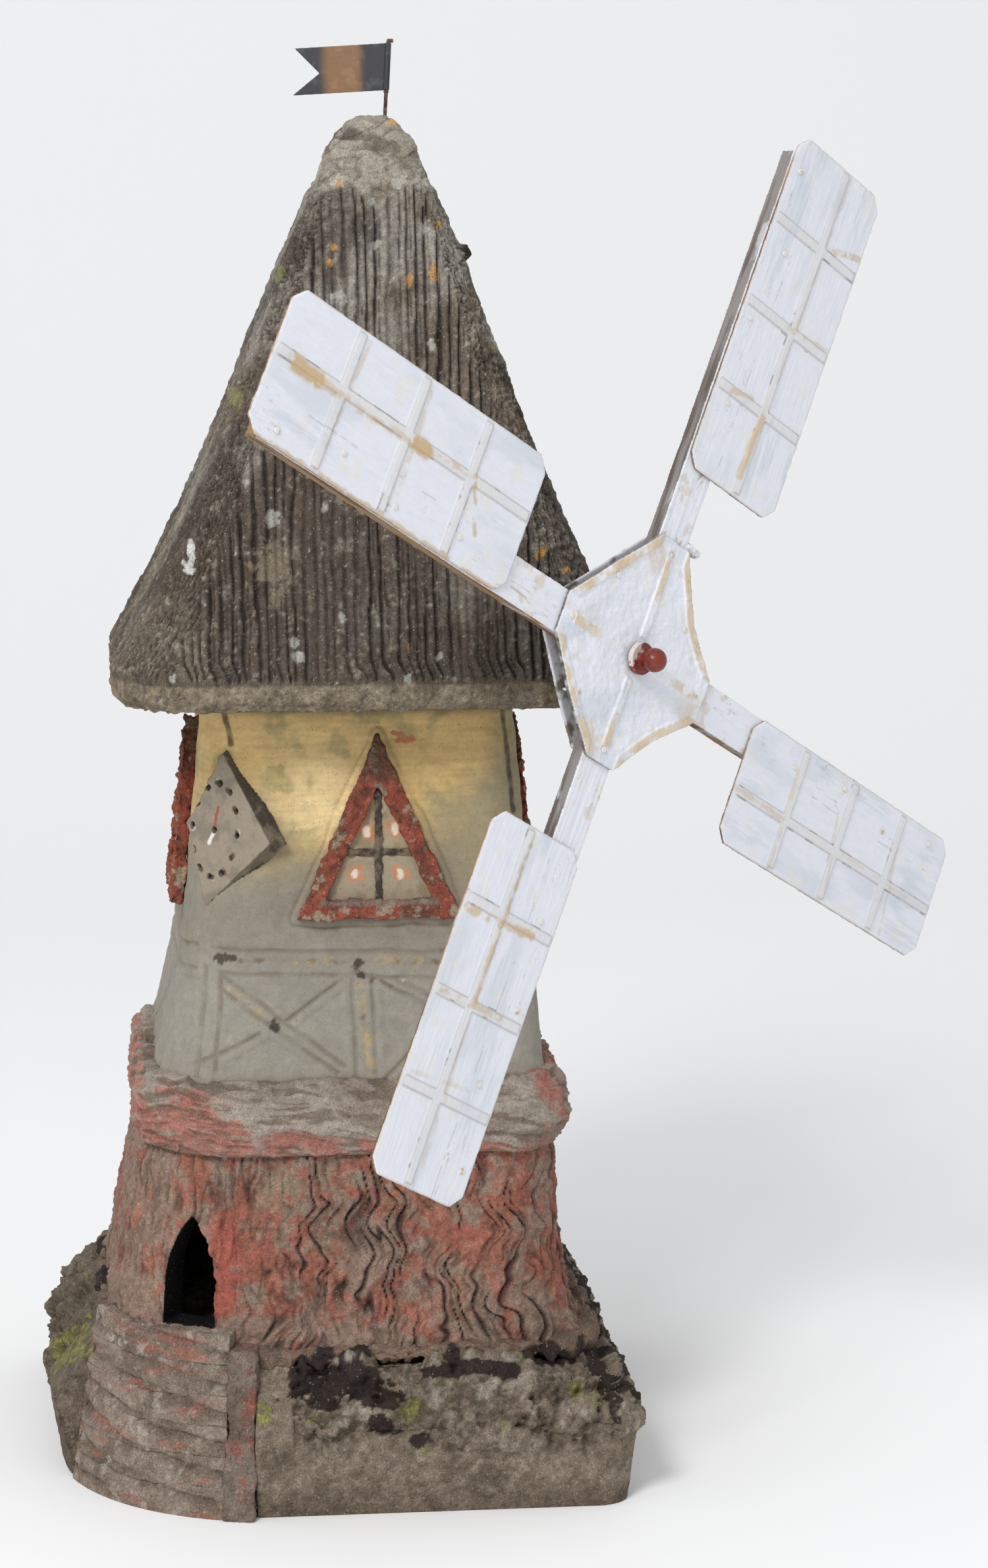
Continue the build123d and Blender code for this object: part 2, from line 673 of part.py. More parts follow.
save(SAIL * axle(), "axle")
save(SAIL * axle_grout(), "axle_grout")
save(SAIL * axle_spacer(), "axle_spacer")
save(SAIL * rear_washer(), "rear_washer")
save(SAIL * front_washer(), "front_washer")
save(SAIL * axle_knob(), "axle_knob")

save(SAIL * hub_bush(), "hub_bush")
save(SAIL * hub_back_plate(), "hub_back_plate")
save(SAIL * hub_plate(), "hub_plate")
save(SAIL * hub_peg(), "hub_peg")
save_set(hub_border_strips(), "hub_border_strips")
save_set(hub_ridge_strips(), "hub_ridge_strips")
save_set(hub_nail_set(), "hub_nails")
save_set(panel_nail_set(), "panel_nails")

HALVING = STOCK_BACK + STOCK_THICKNESS / 2
save(SAIL * stock(0, STOCK_BACK, HALVING), "stock_a")
save(SAIL * stock(1, HALVING, STOCK_FRONT), "stock_b")

for number in range(4):
    save(SAIL * sail_panel(number), f"sail_{number + 1}_panel")
    save(SAIL * long_lath(number), f"sail_{number + 1}_long_lath")
    save_set(cross_laths(number), f"sail_{number + 1}_cross_laths")
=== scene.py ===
"""Looks for the garden windmill: rough concrete castings, thatch, bark-like walls, painted sails.

Each casting is a finely divided copy of its CAD node whose surface is then worked in code: grooves,
lumps, cracks and grit move the vertices, and the same fields colour them. Lengths are millimetres
until they are written to a mesh.
"""
import json
import math

import bpy
import numpy as np
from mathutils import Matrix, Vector


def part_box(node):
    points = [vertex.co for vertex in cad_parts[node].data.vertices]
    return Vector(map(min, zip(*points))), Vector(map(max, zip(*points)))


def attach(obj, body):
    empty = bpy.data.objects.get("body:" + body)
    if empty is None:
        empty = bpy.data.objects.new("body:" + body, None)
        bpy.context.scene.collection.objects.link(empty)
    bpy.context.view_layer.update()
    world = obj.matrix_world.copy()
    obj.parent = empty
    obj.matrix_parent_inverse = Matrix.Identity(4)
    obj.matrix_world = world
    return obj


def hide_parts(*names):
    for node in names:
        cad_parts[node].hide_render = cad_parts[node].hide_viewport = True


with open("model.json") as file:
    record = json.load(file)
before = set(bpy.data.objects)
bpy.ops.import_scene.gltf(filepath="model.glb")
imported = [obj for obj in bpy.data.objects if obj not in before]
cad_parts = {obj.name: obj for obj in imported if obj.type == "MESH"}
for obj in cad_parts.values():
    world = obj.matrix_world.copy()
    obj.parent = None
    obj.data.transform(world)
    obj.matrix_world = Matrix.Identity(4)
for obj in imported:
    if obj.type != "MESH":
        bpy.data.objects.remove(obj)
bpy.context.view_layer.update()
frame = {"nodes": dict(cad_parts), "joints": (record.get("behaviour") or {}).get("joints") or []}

MM = 0.001
COARSE = 1.0

# ---- Places read from the frame ----
SPIN = next(joint for joint in frame["joints"] if joint["name"] == "sail_spin")
AXLE = np.array(SPIN["axis"], float)
SAIL_RIGHT = np.array([-AXLE[1], AXLE[0], 0.0])
HUB_Z = SPIN["pos_m"][2] / MM
# The first arm, in degrees clockwise from straight up.
FIRST_ARM = 28


def low(node):
    return np.array(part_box(node)[0]) / MM


def high(node):
    return np.array(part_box(node)[1]) / MM


EAVE_Z = low("roof_shell")[2]
THATCH_TOP = high("roof_shell")[2]
WALL_FOOT = high("gallery_ledge")[2]
WALL_HEAD = high("upper_storey")[2]
LEDGE_Z = low("gallery_ledge")[2]
SILL_Z = high("stair_flight")[2]


# ---- Colour helpers ----
def rgb(red, green, blue):
    """Linear colour from display values of 0 to 255."""
    value = np.array([red, green, blue]) / 255.0
    return np.where(value <= 0.04045, value / 12.92, ((value + 0.055) / 1.055) ** 2.4)


def mix(first, second, share):
    return first + (second - first) * np.asarray(share)[..., None]


def layered(tint, layers):
    """Lays display colours over a tint one after another, each with the share that it covers."""
    for colour, share in layers:
        tint = mix(tint, rgb(*colour), share)
    return tint


def ramp(value, start, end):
    """Smooth step from 0 at start to 1 at end; start may be above end."""
    share = np.clip((value - start) / (end - start), 0, 1)
    return share * share * (3 - 2 * share)


# ---- Noise on arrays of points ----
LATTICE_TURN = np.array([[0.36, 0.48, -0.8], [-0.8, 0.6, 0.0], [0.48, 0.64, 0.6]])


def cell_random(cell, seed):
    """A repeatable number from 0 to 1 for each whole-number cell."""
    cell = cell.astype(np.int64)
    key = (cell[:, 0] * 73856093) ^ (cell[:, 1] * 19349663) ^ (cell[:, 2] * 83492791) ^ (seed * 2654435761)
    key = ((key ^ (key >> 13)) * 1274126177) & 0xFFFFFFFF
    key = ((key ^ (key >> 15)) * 2246822519) & 0xFFFFFFFF
    return ((key ^ (key >> 16)) & 0xFFFFFF) / 0xFFFFFF


def noise(points, size, seed):
    """Smooth noise from -1 to 1 whose blobs are about size millimetres across."""
    spot = (points / size) @ LATTICE_TURN + 13.7 * seed
    base = np.floor(spot)
    part = spot - base
    part = part * part * part * (part * (part * 6 - 15) + 10)
    total = np.zeros(len(points))
    for corner in range(8):
        step = np.array([corner & 1, corner >> 1 & 1, corner >> 2 & 1])
        weight = np.where(step, part, 1 - part).prod(axis=1)
        total += weight * cell_random(base + step, seed)
    return 2 * total - 1


def fractal(points, size, seed, octaves=4, gain=0.55):
    """Layered noise, about -1 to 1."""
    total = np.zeros(len(points))
    height = 1.0
    reach = 0.0
    for octave in range(octaves):
        total += height * noise(points, size / 2**octave, seed + 31 * octave)
        reach += height**2
        height *= gain
    return np.clip(total / math.sqrt(reach) * 1.1, -1.3, 1.3)


def clouds(points, size, seed, start, end):
    """Ragged clouds: how far layered noise has gone from start to end, from 0 to 1."""
    return ramp(fractal(points, size, seed), start, end)


def spots(points, size, share, radius, seed):
    """Scattered round spots: 1 at the middle of a spot, 0 outside it. share is how many cells have one."""
    cell = np.floor(points / size)
    best = np.zeros(len(points))
    for step in np.ndindex(3, 3, 3):
        near = cell + np.array(step) - 1
        grows = np.flatnonzero(cell_random(near, seed + 3) < share)
        near = near[grows]
        jitter = np.stack([cell_random(near, seed + axis) for axis in range(3)], axis=1)
        reach = radius * (0.45 + 0.55 * cell_random(near, seed + 4))
        distance = np.linalg.norm(points[grows] - (near + jitter) * size, axis=1)
        best[grows] = np.maximum(best[grows], np.clip(1.35 - distance / reach, 0, 1))
    return best


def stretched(points, x=1.0, y=1.0, z=1.0):
    return points / np.array([x, y, z])


def line_gap(first, second, start, end):
    """Distance of points (first, second) from a straight line between two places."""
    start = np.array(start, float)
    along = np.array(end, float) - start
    offset = np.stack([first - start[0], second - start[1]], axis=1)
    share = np.clip((offset @ along) / (along @ along), 0, 1)
    return np.linalg.norm(offset - share[:, None] * along, axis=1)


# ---- Finely divided pieces ----
def dense_copy(name, nodes, voxel, body, smoothing=2):
    """One closed, finely divided mesh over some CAD nodes, which it stands for.

    Returns the piece, its vertex places in millimetres and its vertex normals.
    """
    mesh = bpy.data.meshes.new(name)
    corners = []
    faces = []
    for node in nodes:
        source = frame["nodes"][node].data
        first = len(corners)
        corners += [vertex.co[:] for vertex in source.vertices]
        faces += [[first + index for index in polygon.vertices] for polygon in source.polygons]
    mesh.from_pydata(corners, [], faces)
    piece = bpy.data.objects.new(name, mesh)
    bpy.context.scene.collection.objects.link(piece)
    weld = piece.modifiers.new("weld", "WELD")
    weld.merge_threshold = 0.01 * MM
    remesh = piece.modifiers.new("dense", "REMESH")
    remesh.mode = "VOXEL"
    remesh.voxel_size = voxel * COARSE * MM
    smooth = piece.modifiers.new("even", "SMOOTH")
    smooth.factor = 0.5
    smooth.iterations = smoothing
    depsgraph = bpy.context.evaluated_depsgraph_get()
    result = bpy.data.meshes.new_from_object(piece.evaluated_get(depsgraph))
    piece.modifiers.clear()
    piece.data = result
    result.name = name
    bpy.data.meshes.remove(mesh)
    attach(piece, body)
    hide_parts(*nodes)
    place = np.empty(len(result.vertices) * 3, np.float32)
    normal = np.empty(len(result.vertices) * 3, np.float32)
    result.vertices.foreach_get("co", place)
    result.vertices.foreach_get("normal", normal)
    return piece, place.reshape(-1, 3).astype(float) / MM, normal.reshape(-1, 3).astype(float)


def write(piece, place, tint, material, grain=None):
    """Puts back the worked surface with its colour; grain is an optional frame for wood and brush marks."""
    mesh = piece.data
    mesh.vertices.foreach_set("co", (place * MM).astype(np.float32).ravel())
    colour = np.ones((len(place), 4), np.float32)
    colour[:, :3] = np.clip(tint, 0, 1)
    layer = mesh.attributes.new("tint", "FLOAT_COLOR", "POINT")
    layer.data.foreach_set("color", colour.ravel())
    if grain is not None:
        layer = mesh.attributes.new("grain", "FLOAT_VECTOR", "POINT")
        layer.data.foreach_set("vector", (grain * MM).astype(np.float32).ravel())
    mesh.polygons.foreach_set("use_smooth", np.ones(len(mesh.polygons), bool))
    mesh.materials.clear()
    mesh.materials.append(material)
    mesh.update()


# ---- Materials ----
LIGHT_GRAIN = (0.4, 0.35, 0.3, 1)
DARK_GRAIN = (0.05, 0.045, 0.04, 1)


def node_material(name):
    material = bpy.data.materials.new(name)
    material.use_nodes = True
    tree = material.node_tree
    return material, tree, tree.nodes["Principled BSDF"]


def feed(tree, entries, values):
    """Gives node inputs their values, or links them where a value is another node's socket."""
    for entry, value in zip(entries, values):
        if isinstance(value, bpy.types.NodeSocket):
            tree.links.new(value, entry)
        else:
            entry.default_value = value


def add(tree, kind, *values, **settings):
    """A new node: settings are its properties and named inputs, and values fill its inputs in order."""
    node = tree.nodes.new(kind)
    for key, value in settings.items():
        if key in node.inputs:
            feed(tree, [node.inputs[key]], [value])
        else:
            setattr(node, key, value)
    feed(tree, node.inputs, values)
    return node


def ranged(tree, source, *limits):
    """Maps a socket from a low and a high value to another low and high value."""
    return add(tree, "ShaderNodeMapRange", source, *limits).outputs[0]


def product(tree, first, second):
    return add(tree, "ShaderNodeMath", first, second, operation="MULTIPLY").outputs[0]


def cloudy(tree, where, size, detail, roughness):
    """Noise texture with blobs of a size in millimetres."""
    scale = 1 / (size * MM)
    texture = add(tree, "ShaderNodeTexNoise", Vector=where, Scale=scale, Detail=detail, Roughness=roughness)
    return texture.outputs["Fac"]


def blended(tree, share, first, second):
    node = add(tree, "ShaderNodeMix", data_type="RGBA", Factor=share)
    feed(tree, node.inputs[6:8], (first, second))
    return node.outputs[2]


def tinted(tree, strength):
    """The colour painted on the vertices, made lighter or darker."""
    tint = add(tree, "ShaderNodeAttribute", attribute_name="tint").outputs["Color"]
    return add(tree, "ShaderNodeVectorMath", operation="SCALE", Vector=tint, Scale=strength).outputs[0]


def finish(tree, shader, height, relief, distance, **settings):
    """Sets the shader's inputs and roughens its normal by a height."""
    bump = add(tree, "ShaderNodeBump", Strength=relief, Distance=distance * MM, Height=height)
    settings["Normal"] = bump.outputs[0]
    feed(tree, [shader.inputs[key.replace("_", " ")] for key in settings], settings.values())


def gritty(name, grain, contrast, relief, roughness, light_share, dark_share):
    """Cement and mortar: the vertex tint, broken up by sand grains, light and dark specks and fine pits."""
    material, tree, shader = node_material(name)
    where = add(tree, "ShaderNodeTexCoord").outputs["Object"]
    coarse = cloudy(tree, where, grain * 6, 5.0, 0.65)
    fine = cloudy(tree, where, grain, 3.0, 0.7)
    grains = add(tree, "ShaderNodeTexVoronoi", Vector=where, Scale=1 / (1.5 * grain * MM))
    broad = ranged(tree, coarse, 0.3, 0.7, 1 - 0.7 * contrast, 1 + 0.7 * contrast)
    small = ranged(tree, fine, 0.25, 0.75, 1 - 2.2 * contrast, 1 + 2.2 * contrast)
    colour = tinted(tree, product(tree, broad, small))
    near = ranged(tree, grains.outputs["Distance"], 0.36, 0.18, 0.0, 1.0)
    pick = add(tree, "ShaderNodeSeparateColor", grains.outputs["Color"])
    for channel, share, speck in ((0, light_share, LIGHT_GRAIN), (1, dark_share, DARK_GRAIN)):
        chosen = ranged(tree, pick.outputs[channel], share, share + 0.02, 0.0, 0.6)
        colour = blended(tree, product(tree, chosen, near), colour, speck)
    dull = ranged(tree, coarse, 0.3, 0.7, roughness - 0.08, min(1, roughness + 0.08))
    grain_rise = ranged(tree, grains.outputs["Distance"], 0.0, 0.6, 0.3, 0.0)
    height = add(tree, "ShaderNodeMath", fine, grain_rise, operation="SUBTRACT").outputs[0]
    finish(tree, shader, height, relief, grain, Base_Color=colour, Roughness=dull, Specular_IOR_Level=0.25)
    return material


def brushed(name, streak, contrast, relief, roughness, specular):
    """Painted or bare wood: the vertex tint with fine streaks along the grain attribute's first axis."""
    material, tree, shader = node_material(name)
    grain = add(tree, "ShaderNodeAttribute", attribute_name="grain").outputs["Vector"]
    squeeze = (1 / (streak * 14 * MM), 1 / (streak * MM), 1 / (streak * 3 * MM))
    along = add(tree, "ShaderNodeVectorMath", grain, squeeze, operation="MULTIPLY").outputs[0]
    lines = cloudy(tree, along, 1 / MM, 4.0, 0.7)
    patchy = cloudy(tree, grain, 9, 5.0, 0.7)
    strokes = ranged(tree, lines, 0.3, 0.7, 1 - contrast, 1 + contrast)
    broad = ranged(tree, patchy, 0.3, 0.7, 1 - 0.6 * contrast, 1 + 0.6 * contrast)
    colour = tinted(tree, product(tree, strokes, broad))
    dull = ranged(tree, patchy, 0.3, 0.7, roughness - 0.1, roughness + 0.1)
    finish(tree, shader, lines, relief, 0.5, Base_Color=colour, Roughness=dull, Specular_IOR_Level=specular)
    return material


def metal(name, colour, second, share, roughness, metallic):
    """Metal with a second colour, such as rust or tarnish, creeping over it in patches."""
    material, tree, shader = node_material(name)
    patchy = cloudy(tree, add(tree, "ShaderNodeTexCoord").outputs["Object"], 4, 6.0, 0.7)
    cover = ranged(tree, patchy, 0.62 - 0.3 * share, 0.72 - 0.3 * share, 0.0, 1.0)
    mixed = blended(tree, cover, (*colour, 1), (*second, 1))
    dull = ranged(tree, cover, 0.0, 1.0, roughness, 0.85)
    shine = ranged(tree, cover, 0.0, 1.0, metallic, 0.1)
    finish(tree, shader, patchy, 0.4, 0.4, Base_Color=mixed, Roughness=dull, Metallic=shine)
    return material


THATCH = gritty("thatch_concrete", 1.4, 0.24, 0.8, 0.93, light_share=0.86, dark_share=0.8)
CEMENT = gritty("smooth_cement", 0.9, 0.08, 0.35, 0.88, light_share=0.97, dark_share=0.9)
BARK = gritty("red_bark_concrete", 1.4, 0.21, 0.7, 0.92, light_share=0.9, dark_share=0.9)
ROCK = gritty("rough_plinth_concrete", 1.6, 0.25, 0.85, 0.94, light_share=0.88, dark_share=0.86)
PAINTED_WOOD = brushed("white_painted_wood", 0.8, 0.04, 0.2, 0.75, specular=0.15)
GLOSS_RED = brushed("gloss_red_paint", 1.2, 0.1, 0.2, 0.32, specular=0.4)
FLAG_PAINT = brushed("flag_enamel", 1.0, 0.08, 0.2, 0.55, specular=0.4)
STEEL = metal("axle_steel", (0.45, 0.45, 0.46), (0.22, 0.12, 0.07), 0.25, 0.35, 0.95)
BRASS = metal("bush_brass", (0.62, 0.45, 0.18), (0.2, 0.15, 0.08), 0.35, 0.35, 0.95)


def finish_plain_nodes():
    """CAD nodes that stay as they are, nearly all of them hidden inside the machine."""
    for node in ("axle", "axle_spacer", "rear_washer", "front_washer", "hub_bush"):
        mesh = frame["nodes"][node].data
        mesh.materials.clear()
        mesh.materials.append(BRASS if node == "hub_bush" else STEEL)


# ---- Shared surface fields ----
def outside(place, normal):
    """1 where a casting's skin faces away from its middle, 0 inside its hollow or underneath."""
    radial = place[:, :2] / np.maximum(np.linalg.norm(place[:, :2], axis=1), 1)[:, None]
    return ramp((normal[:, :2] * radial).sum(axis=1), 0.0, 0.3)


def grit(place, seed):
    return 0.6 * noise(place, 2.4, seed) + 0.4 * noise(place, 4.6, seed + 1)


def patches(across, height, blots, wobble):
    """1 inside ragged patches, each given as (place across, height, half width, half height)."""
    cover = np.zeros(len(across))
    for middle, level, wide, tall in blots:
        gap = np.hypot((across - middle) / wide, (height - level) / tall) + wobble
        cover = np.maximum(cover, ramp(gap, 1.1, 0.75))
    return cover


def grained(tint, place, strength, seed):
    """Breaks a tint up with sand grains two to five millimetres across."""
    salt = 0.65 * noise(place, 2.6, seed) + 0.35 * noise(place, 5.2, seed + 1)
    return tint * (1 + strength * salt)[:, None]


def side_of(place, centre=0.0):
    """Distance across the wall that a point is on, and how near it is to the wall's corner, up to 1."""
    x = place[:, 0] - centre
    y = place[:, 1]
    on_side = np.abs(x) > np.abs(y)
    across = np.where(on_side, y, x)
    out = np.maximum(np.where(on_side, np.abs(x), np.abs(y)), 1)
    return across, np.abs(across) / out


def simple_piece(name, node, voxel, body, material, colours, blotches, swelling, smoothing=2):
    """A small piece in two colours. blotches are their size, seed and the noise from first to second
    colour; swelling is its height, size, seed and the constant that is added to it."""
    piece, place, normal = dense_copy(name, [node], voxel, body, smoothing)
    local = sail_frame(place) if body == "sails" else place
    size, seed, first_end, second_start = blotches
    tint = mix(rgb(*colours[0]), rgb(*colours[1]), clouds(local, size, seed, first_end, second_start))
    height, size, seed, lift = swelling
    moved = place + normal * (height * fractal(local, size, seed) + lift)[:, None]
    write(piece, moved, tint, material, grain=local if body == "sails" else None)


# ---- Roof ----
GROOVE_PITCH = 8.5
FACES_APART = 300.0
RIM_Z = EAVE_Z + 24
ROOF_AXIS = (8, 15)
NODULE = (86, -48, 1023)

# Growths and patches on the roof's front, as (x, z, half width, half height).
ORANGE_LICHENS = [
    (-15, 1080, 3, 4), (-22, 1028, 3, 4), (61, 1007, 4, 5), (41, 1001, 3, 4), (-25, 1015, 3, 4),
    (140, 783, 5, 5), (160, 768, 4, 3), (29, 710, 2, 5), (66, 1046, 3, 3), (-50, 977, 2, 3),
]
PALE_LICHENS = [
    (55, 1044, 5, 6), (-18, 988, 6, 6), (-78, 812, 5, 7), (-60, 704, 5, 5), (27, 688, 3, 4), (-97, 839, 3, 4),
    (12, 1065, 3, 3), (34, 1080, 4, 5), (14, 1030, 3, 3), (33, 1016, 3, 3), (110, 950, 4, 7), (57, 947, 3, 6),
    (-35, 820, 3, 5), (-160, 690, 3, 3), (-24, 735, 4, 4), (52, 705, 3, 4), (-62, 716, 4, 6),
]
MORTAR_PATCHES = [(-80, 774, 15, 17), (-76, 750, 5, 10)]
GREEN_LICHENS = [(-64, 1007, 5, 8), (-101, 905, 4, 7)]
WHITE_SPLASHES = [(-141, 781, 3.5, 10), (-145, 772, 5, 5)]
CAP_LICHENS = [(32, 1131, 6, 3)]


def cap_mortar_tint(place):
    """Trowelled mortar at the roof's top: pale, with darker curved strokes that are painted shade of the
    trowel grooves.
    """
    swirl = stretched(place, 2.4, 2.4, 0.9)
    tint = layered(rgb(154, 147, 134), [
        ((118, 109, 97), clouds(place, 18, 23, -0.2, 0.8)),
        ((172, 164, 150), 0.7 * clouds(swirl, 9, 25, 0.1, 0.8)),
    ])
    # Painted shade: dark curved lines where the trowel grooves lie.
    return mix(tint, rgb(84, 76, 65), 0.6 * ramp(np.abs(noise(swirl, 8, 26)), 0.12, 0.0))


def thatch_roof():
    piece, place, normal = dense_copy(
        "thatched_roof", ["roof_shell"], 1.4, "tower", smoothing=1)
    x, y, z = place.T
    rise = np.clip((z - EAVE_Z) / (THATCH_TOP - EAVE_Z), 0, 1)
    across, hip = side_of(place, ROOF_AXIS[0] + rise * (ROOF_AXIS[1] - ROOF_AXIS[0]))
    face = np.where(np.abs(x) > np.abs(y), 2, 0) + (x + y > 0)
    outer = outside(place, normal)
    # Noise for the thatch runs down each face, and the four faces lie far apart in it.
    strand = np.stack([across, face * FACES_APART, z / 9], axis=1)
    seam = strand * np.array([1, 1, 0.12])
    hook = 6 * ramp(z, RIM_Z + 18, RIM_Z) * ramp(noise(seam, 30, 2), -0.3, 0.3)
    wander = 2.4 * noise(stretched(strand, 1, 1, 0.6), 26, 3) + 1.6 * noise(strand, 7, 4)
    wander = wander + 3.8 * noise(seam, 17, 5) + 0.9 * noise(stretched(place, 1.2, 1.2, 3), 8, 49)
    straight = (across + wander - hook) / GROOVE_PITCH
    fan = 34 * hip + 0.7 * noise(strand, 9, 19) + 0.03 * z
    corner = ramp(hip + 0.07 * noise(place, 20, 5), 0.76, 0.86)
    crest = np.abs(np.sin(math.pi * straight))
    strength = 0.35 + 0.65 * ramp(noise(strand, 15, 6), -0.7, 0.2)
    groove = ramp(crest, 0.6, 0.06) * strength
    split = ramp(np.abs(np.sin(2 * math.pi * straight + 0.8)), 0.5, 0.05)
    split = split * ramp(noise(strand, 9, 7), -0.25, 0.3)
    fan_groove = ramp(np.abs(np.sin(math.pi * fan)), 0.6, 0.05)
    fan_groove = fan_groove * (0.4 + 0.6 * ramp(noise(strand, 10, 8), -0.5, 0.4))
    groove = groove * (1 - corner) + fan_groove * corner
    split = split * (1 - 0.5 * corner)
    mortar_edge = THATCH_TOP - 22 + 14 * noise(place, 22, 9) + 0.12 * np.abs(x - ROOF_AXIS[1])
    thatched = ramp(z, RIM_Z - 1, RIM_Z + 3) * ramp(z, mortar_edge + 7, mortar_edge - 7) * outer
    lumps = fractal(stretched(place, 1, 1, 2.2), 11, 10)
    crumbs = fractal(place, 4.5, 11, octaves=2)
    depth = thatched * (1.9 - 4.4 * groove - 1.9 * split + 0.9 * crest)
    depth += outer * (1.1 * lumps + (0.9 + 1.1 * corner) * crumbs + 1.2 * noise(place, 40, 12))
    depth -= 1.6 * outer * ramp(np.abs(z - RIM_Z + 2), 3, 0)
    knot = ramp(np.linalg.norm(place - np.array(NODULE), axis=1), 9, 4)
    depth += 7 * knot * outer
    moved = place + normal * depth[:, None]

    grey = rgb(137, 131, 122)
    brown = rgb(112, 101, 88)
    plank = noise(strand * np.array([1, 1, 0.35]), 7, 14)
    fibre = noise(strand, 2.4, 50)
    sooty = fractal(stretched(place, 1, 1, 1.7), 60, 15)
    sooty = sooty + 0.7 * ramp(z, 960, 740) - 0.3 * ramp(hip, 0.6, 0.95)
    band = ramp(z, RIM_Z + 3, RIM_Z - 2)
    wobble = 0.5 * noise(place, 6, 17) + 0.3 * noise(place, 2.5, 18)
    front = (y < 0) * outer
    tint = mix(brown, grey, ramp(fractal(place, 40, 13) + 1.3 * rise - 0.6, -0.5, 0.7))
    tint = tint * (1 + (0.2 * plank + 0.14 * crumbs + 0.16 * fibre) * thatched)[:, None]
    tint = layered(tint, [
        ((64, 55, 50), 0.64 * ramp(sooty, 0.0, 0.85) * thatched),
        ((86, 77, 67), 0.5 * corner * thatched * ramp(x, 0, -60)),
        # Painted highlight: the raised lumps and crumbs of the thatch are made lighter.
        ((146, 137, 122), 0.5 * thatched * ramp(crumbs + lumps, 0.45, 1.3)),
        # Painted shade: the grooves and splits between the thatch strands are darkened.
        ((42, 36, 32), np.clip((0.9 * groove + 0.6 * split) * thatched, 0, 0.86)),
    ])
    tint = mix(tint, cap_mortar_tint(place), ramp(z, mortar_edge - 6, mortar_edge + 8))
    rim_tint = mix(rgb(112, 101, 83), rgb(134, 123, 105), clouds(place, 18, 16, -0.4, 0.8))
    tint = mix(tint, rim_tint, 0.9 * band)
    # Painted shadow: a dark line along the groove where the thatch ends above the rim.
    tint = mix(tint, rgb(74, 66, 58), 0.6 * ramp(np.abs(z - RIM_Z), 3.5, 0.5) * outer)
    tint = grained(tint, place, (0.34 + 0.2 * corner + 0.2 * band) * outer, 17)
    tint = layered(tint, [
        ((206, 148, 62), 0.55 * front * patches(x, z, ORANGE_LICHENS, wobble)),
        ((178, 176, 166), 0.7 * front * patches(x, z, PALE_LICHENS, wobble)),
        ((132, 134, 84), 0.6 * front * patches(x, z, GREEN_LICHENS, wobble)),
        ((214, 212, 206), 0.95 * front * patches(x, z, WHITE_SPLASHES, wobble)),
        ((132, 120, 101), 0.7 * front * patches(x, z, MORTAR_PATCHES, wobble)),
        ((180, 176, 165), 0.65 * outer * spots(place, 15, 0.2, 2.2, 20)),
        ((182, 178, 168), 0.7 * outer * spots(place, 6, 0.45, 1.2, 21)),
        ((186, 136, 70), 0.7 * outer * spots(place, 60, 0.18, 4.5, 24) * ramp(z, 700, 950) * (y > 0)),
        ((40, 36, 32), knot),
        # Painted shade: the inside of the hollow roof is near black.
        ((30, 27, 25), 1 - outer),
    ])
    write(piece, moved, tint, THATCH)


def roof_top():
    piece, place, normal = dense_copy("roof_top_mortar", ["roof_cap"], 1.0, "tower")
    swirl = stretched(place, 2.4, 2.4, 0.9)
    lumps = fractal(stretched(place, 1.6, 1.6, 0.8), 14, 21)
    strokes = ramp(np.abs(noise(swirl, 8, 26)), 0.3, 0.0)
    skirt = ramp(place[:, 2], THATCH_TOP + 9, THATCH_TOP)
    depth = 1.9 * lumps + 0.5 * grit(place, 22) - 1.6 * strokes + 0.9 + 1.4 * skirt
    place = place + normal * depth[:, None]
    place[:, 2] -= 7 * skirt
    tint = cap_mortar_tint(place)
    # Painted shade: the low places between the lumps are darkened.
    tint = grained(mix(tint, rgb(70, 63, 56), 0.5 * ramp(lumps, -0.35, -0.9)), place, 0.25, 27)
    lichen = patches(place[:, 0], place[:, 2], CAP_LICHENS, 0.4 * lumps)
    tint = mix(tint, rgb(204, 156, 84), 0.7 * lichen)
    write(piece, place, tint, THATCH)


# ---- Upper storey ----
OCHRE = rgb(212, 180, 122)
WARM_GREY = rgb(134, 127, 114)
FRAME_RED = rgb(134, 72, 57)
DARK_PAINT = rgb(56, 50, 45)
LINE_WIDTH = 1.3

# Incised timber pattern of the front wall, as (x, z) ends.
RAILS = [((-127, 456), (110, 452)), ((-121, 437), (110, 430))]
POSTS = [
    ((-14, 436), (-12, 345)), ((2, 434), (5, 345)), ((-122, 437), (-128, 350)), ((-134, 440), (-142, 352)),
]
BRACES = [
    ((-120, 434), (-22, 360)), ((-124, 424), (-28, 354)), ((-22, 432), (-70, 398)), ((-92, 388), (-143, 363)),
    ((10, 431), (98, 372)), ((24, 431), (104, 382)), ((104, 432), (70, 406)), ((50, 388), (10, 347)),
]
SIDE_BRACES = [
    ((-92, 440), (60, 352)), ((-78, 440), (74, 352)), ((66, 440), (-90, 352)), ((80, 440), (-76, 352)),
]
PAINT_DAUBS = [(-120, 449, 7, 4), (-112, 449, 4, 2.5), (-10, 444, 5, 5), (-79, 395, 4, 4), (-7, 434, 4, 3)]
PAINT_TRAILS = [
    ((-120, 449), (-84, 447)), ((-10, 443), (-7, 400)), ((2, 430), (20, 422)), ((20, 446), (55, 444)),
    ((-50, 446), (-12, 447)),
]
YELLOW_STREAKS = [
    ((-8, 425), (-3, 350)), ((-114, 424), (-84, 400)), ((-60, 447), (50, 446)), ((-4, 400), (2, 352)),
]
# Dark runs down from the eave, as two (x, z) ends and a half width.
DARK_RUNS = [((-117, 654), (-111, 624), 3.2), ((113, 654), (121, 566), 3.0)]

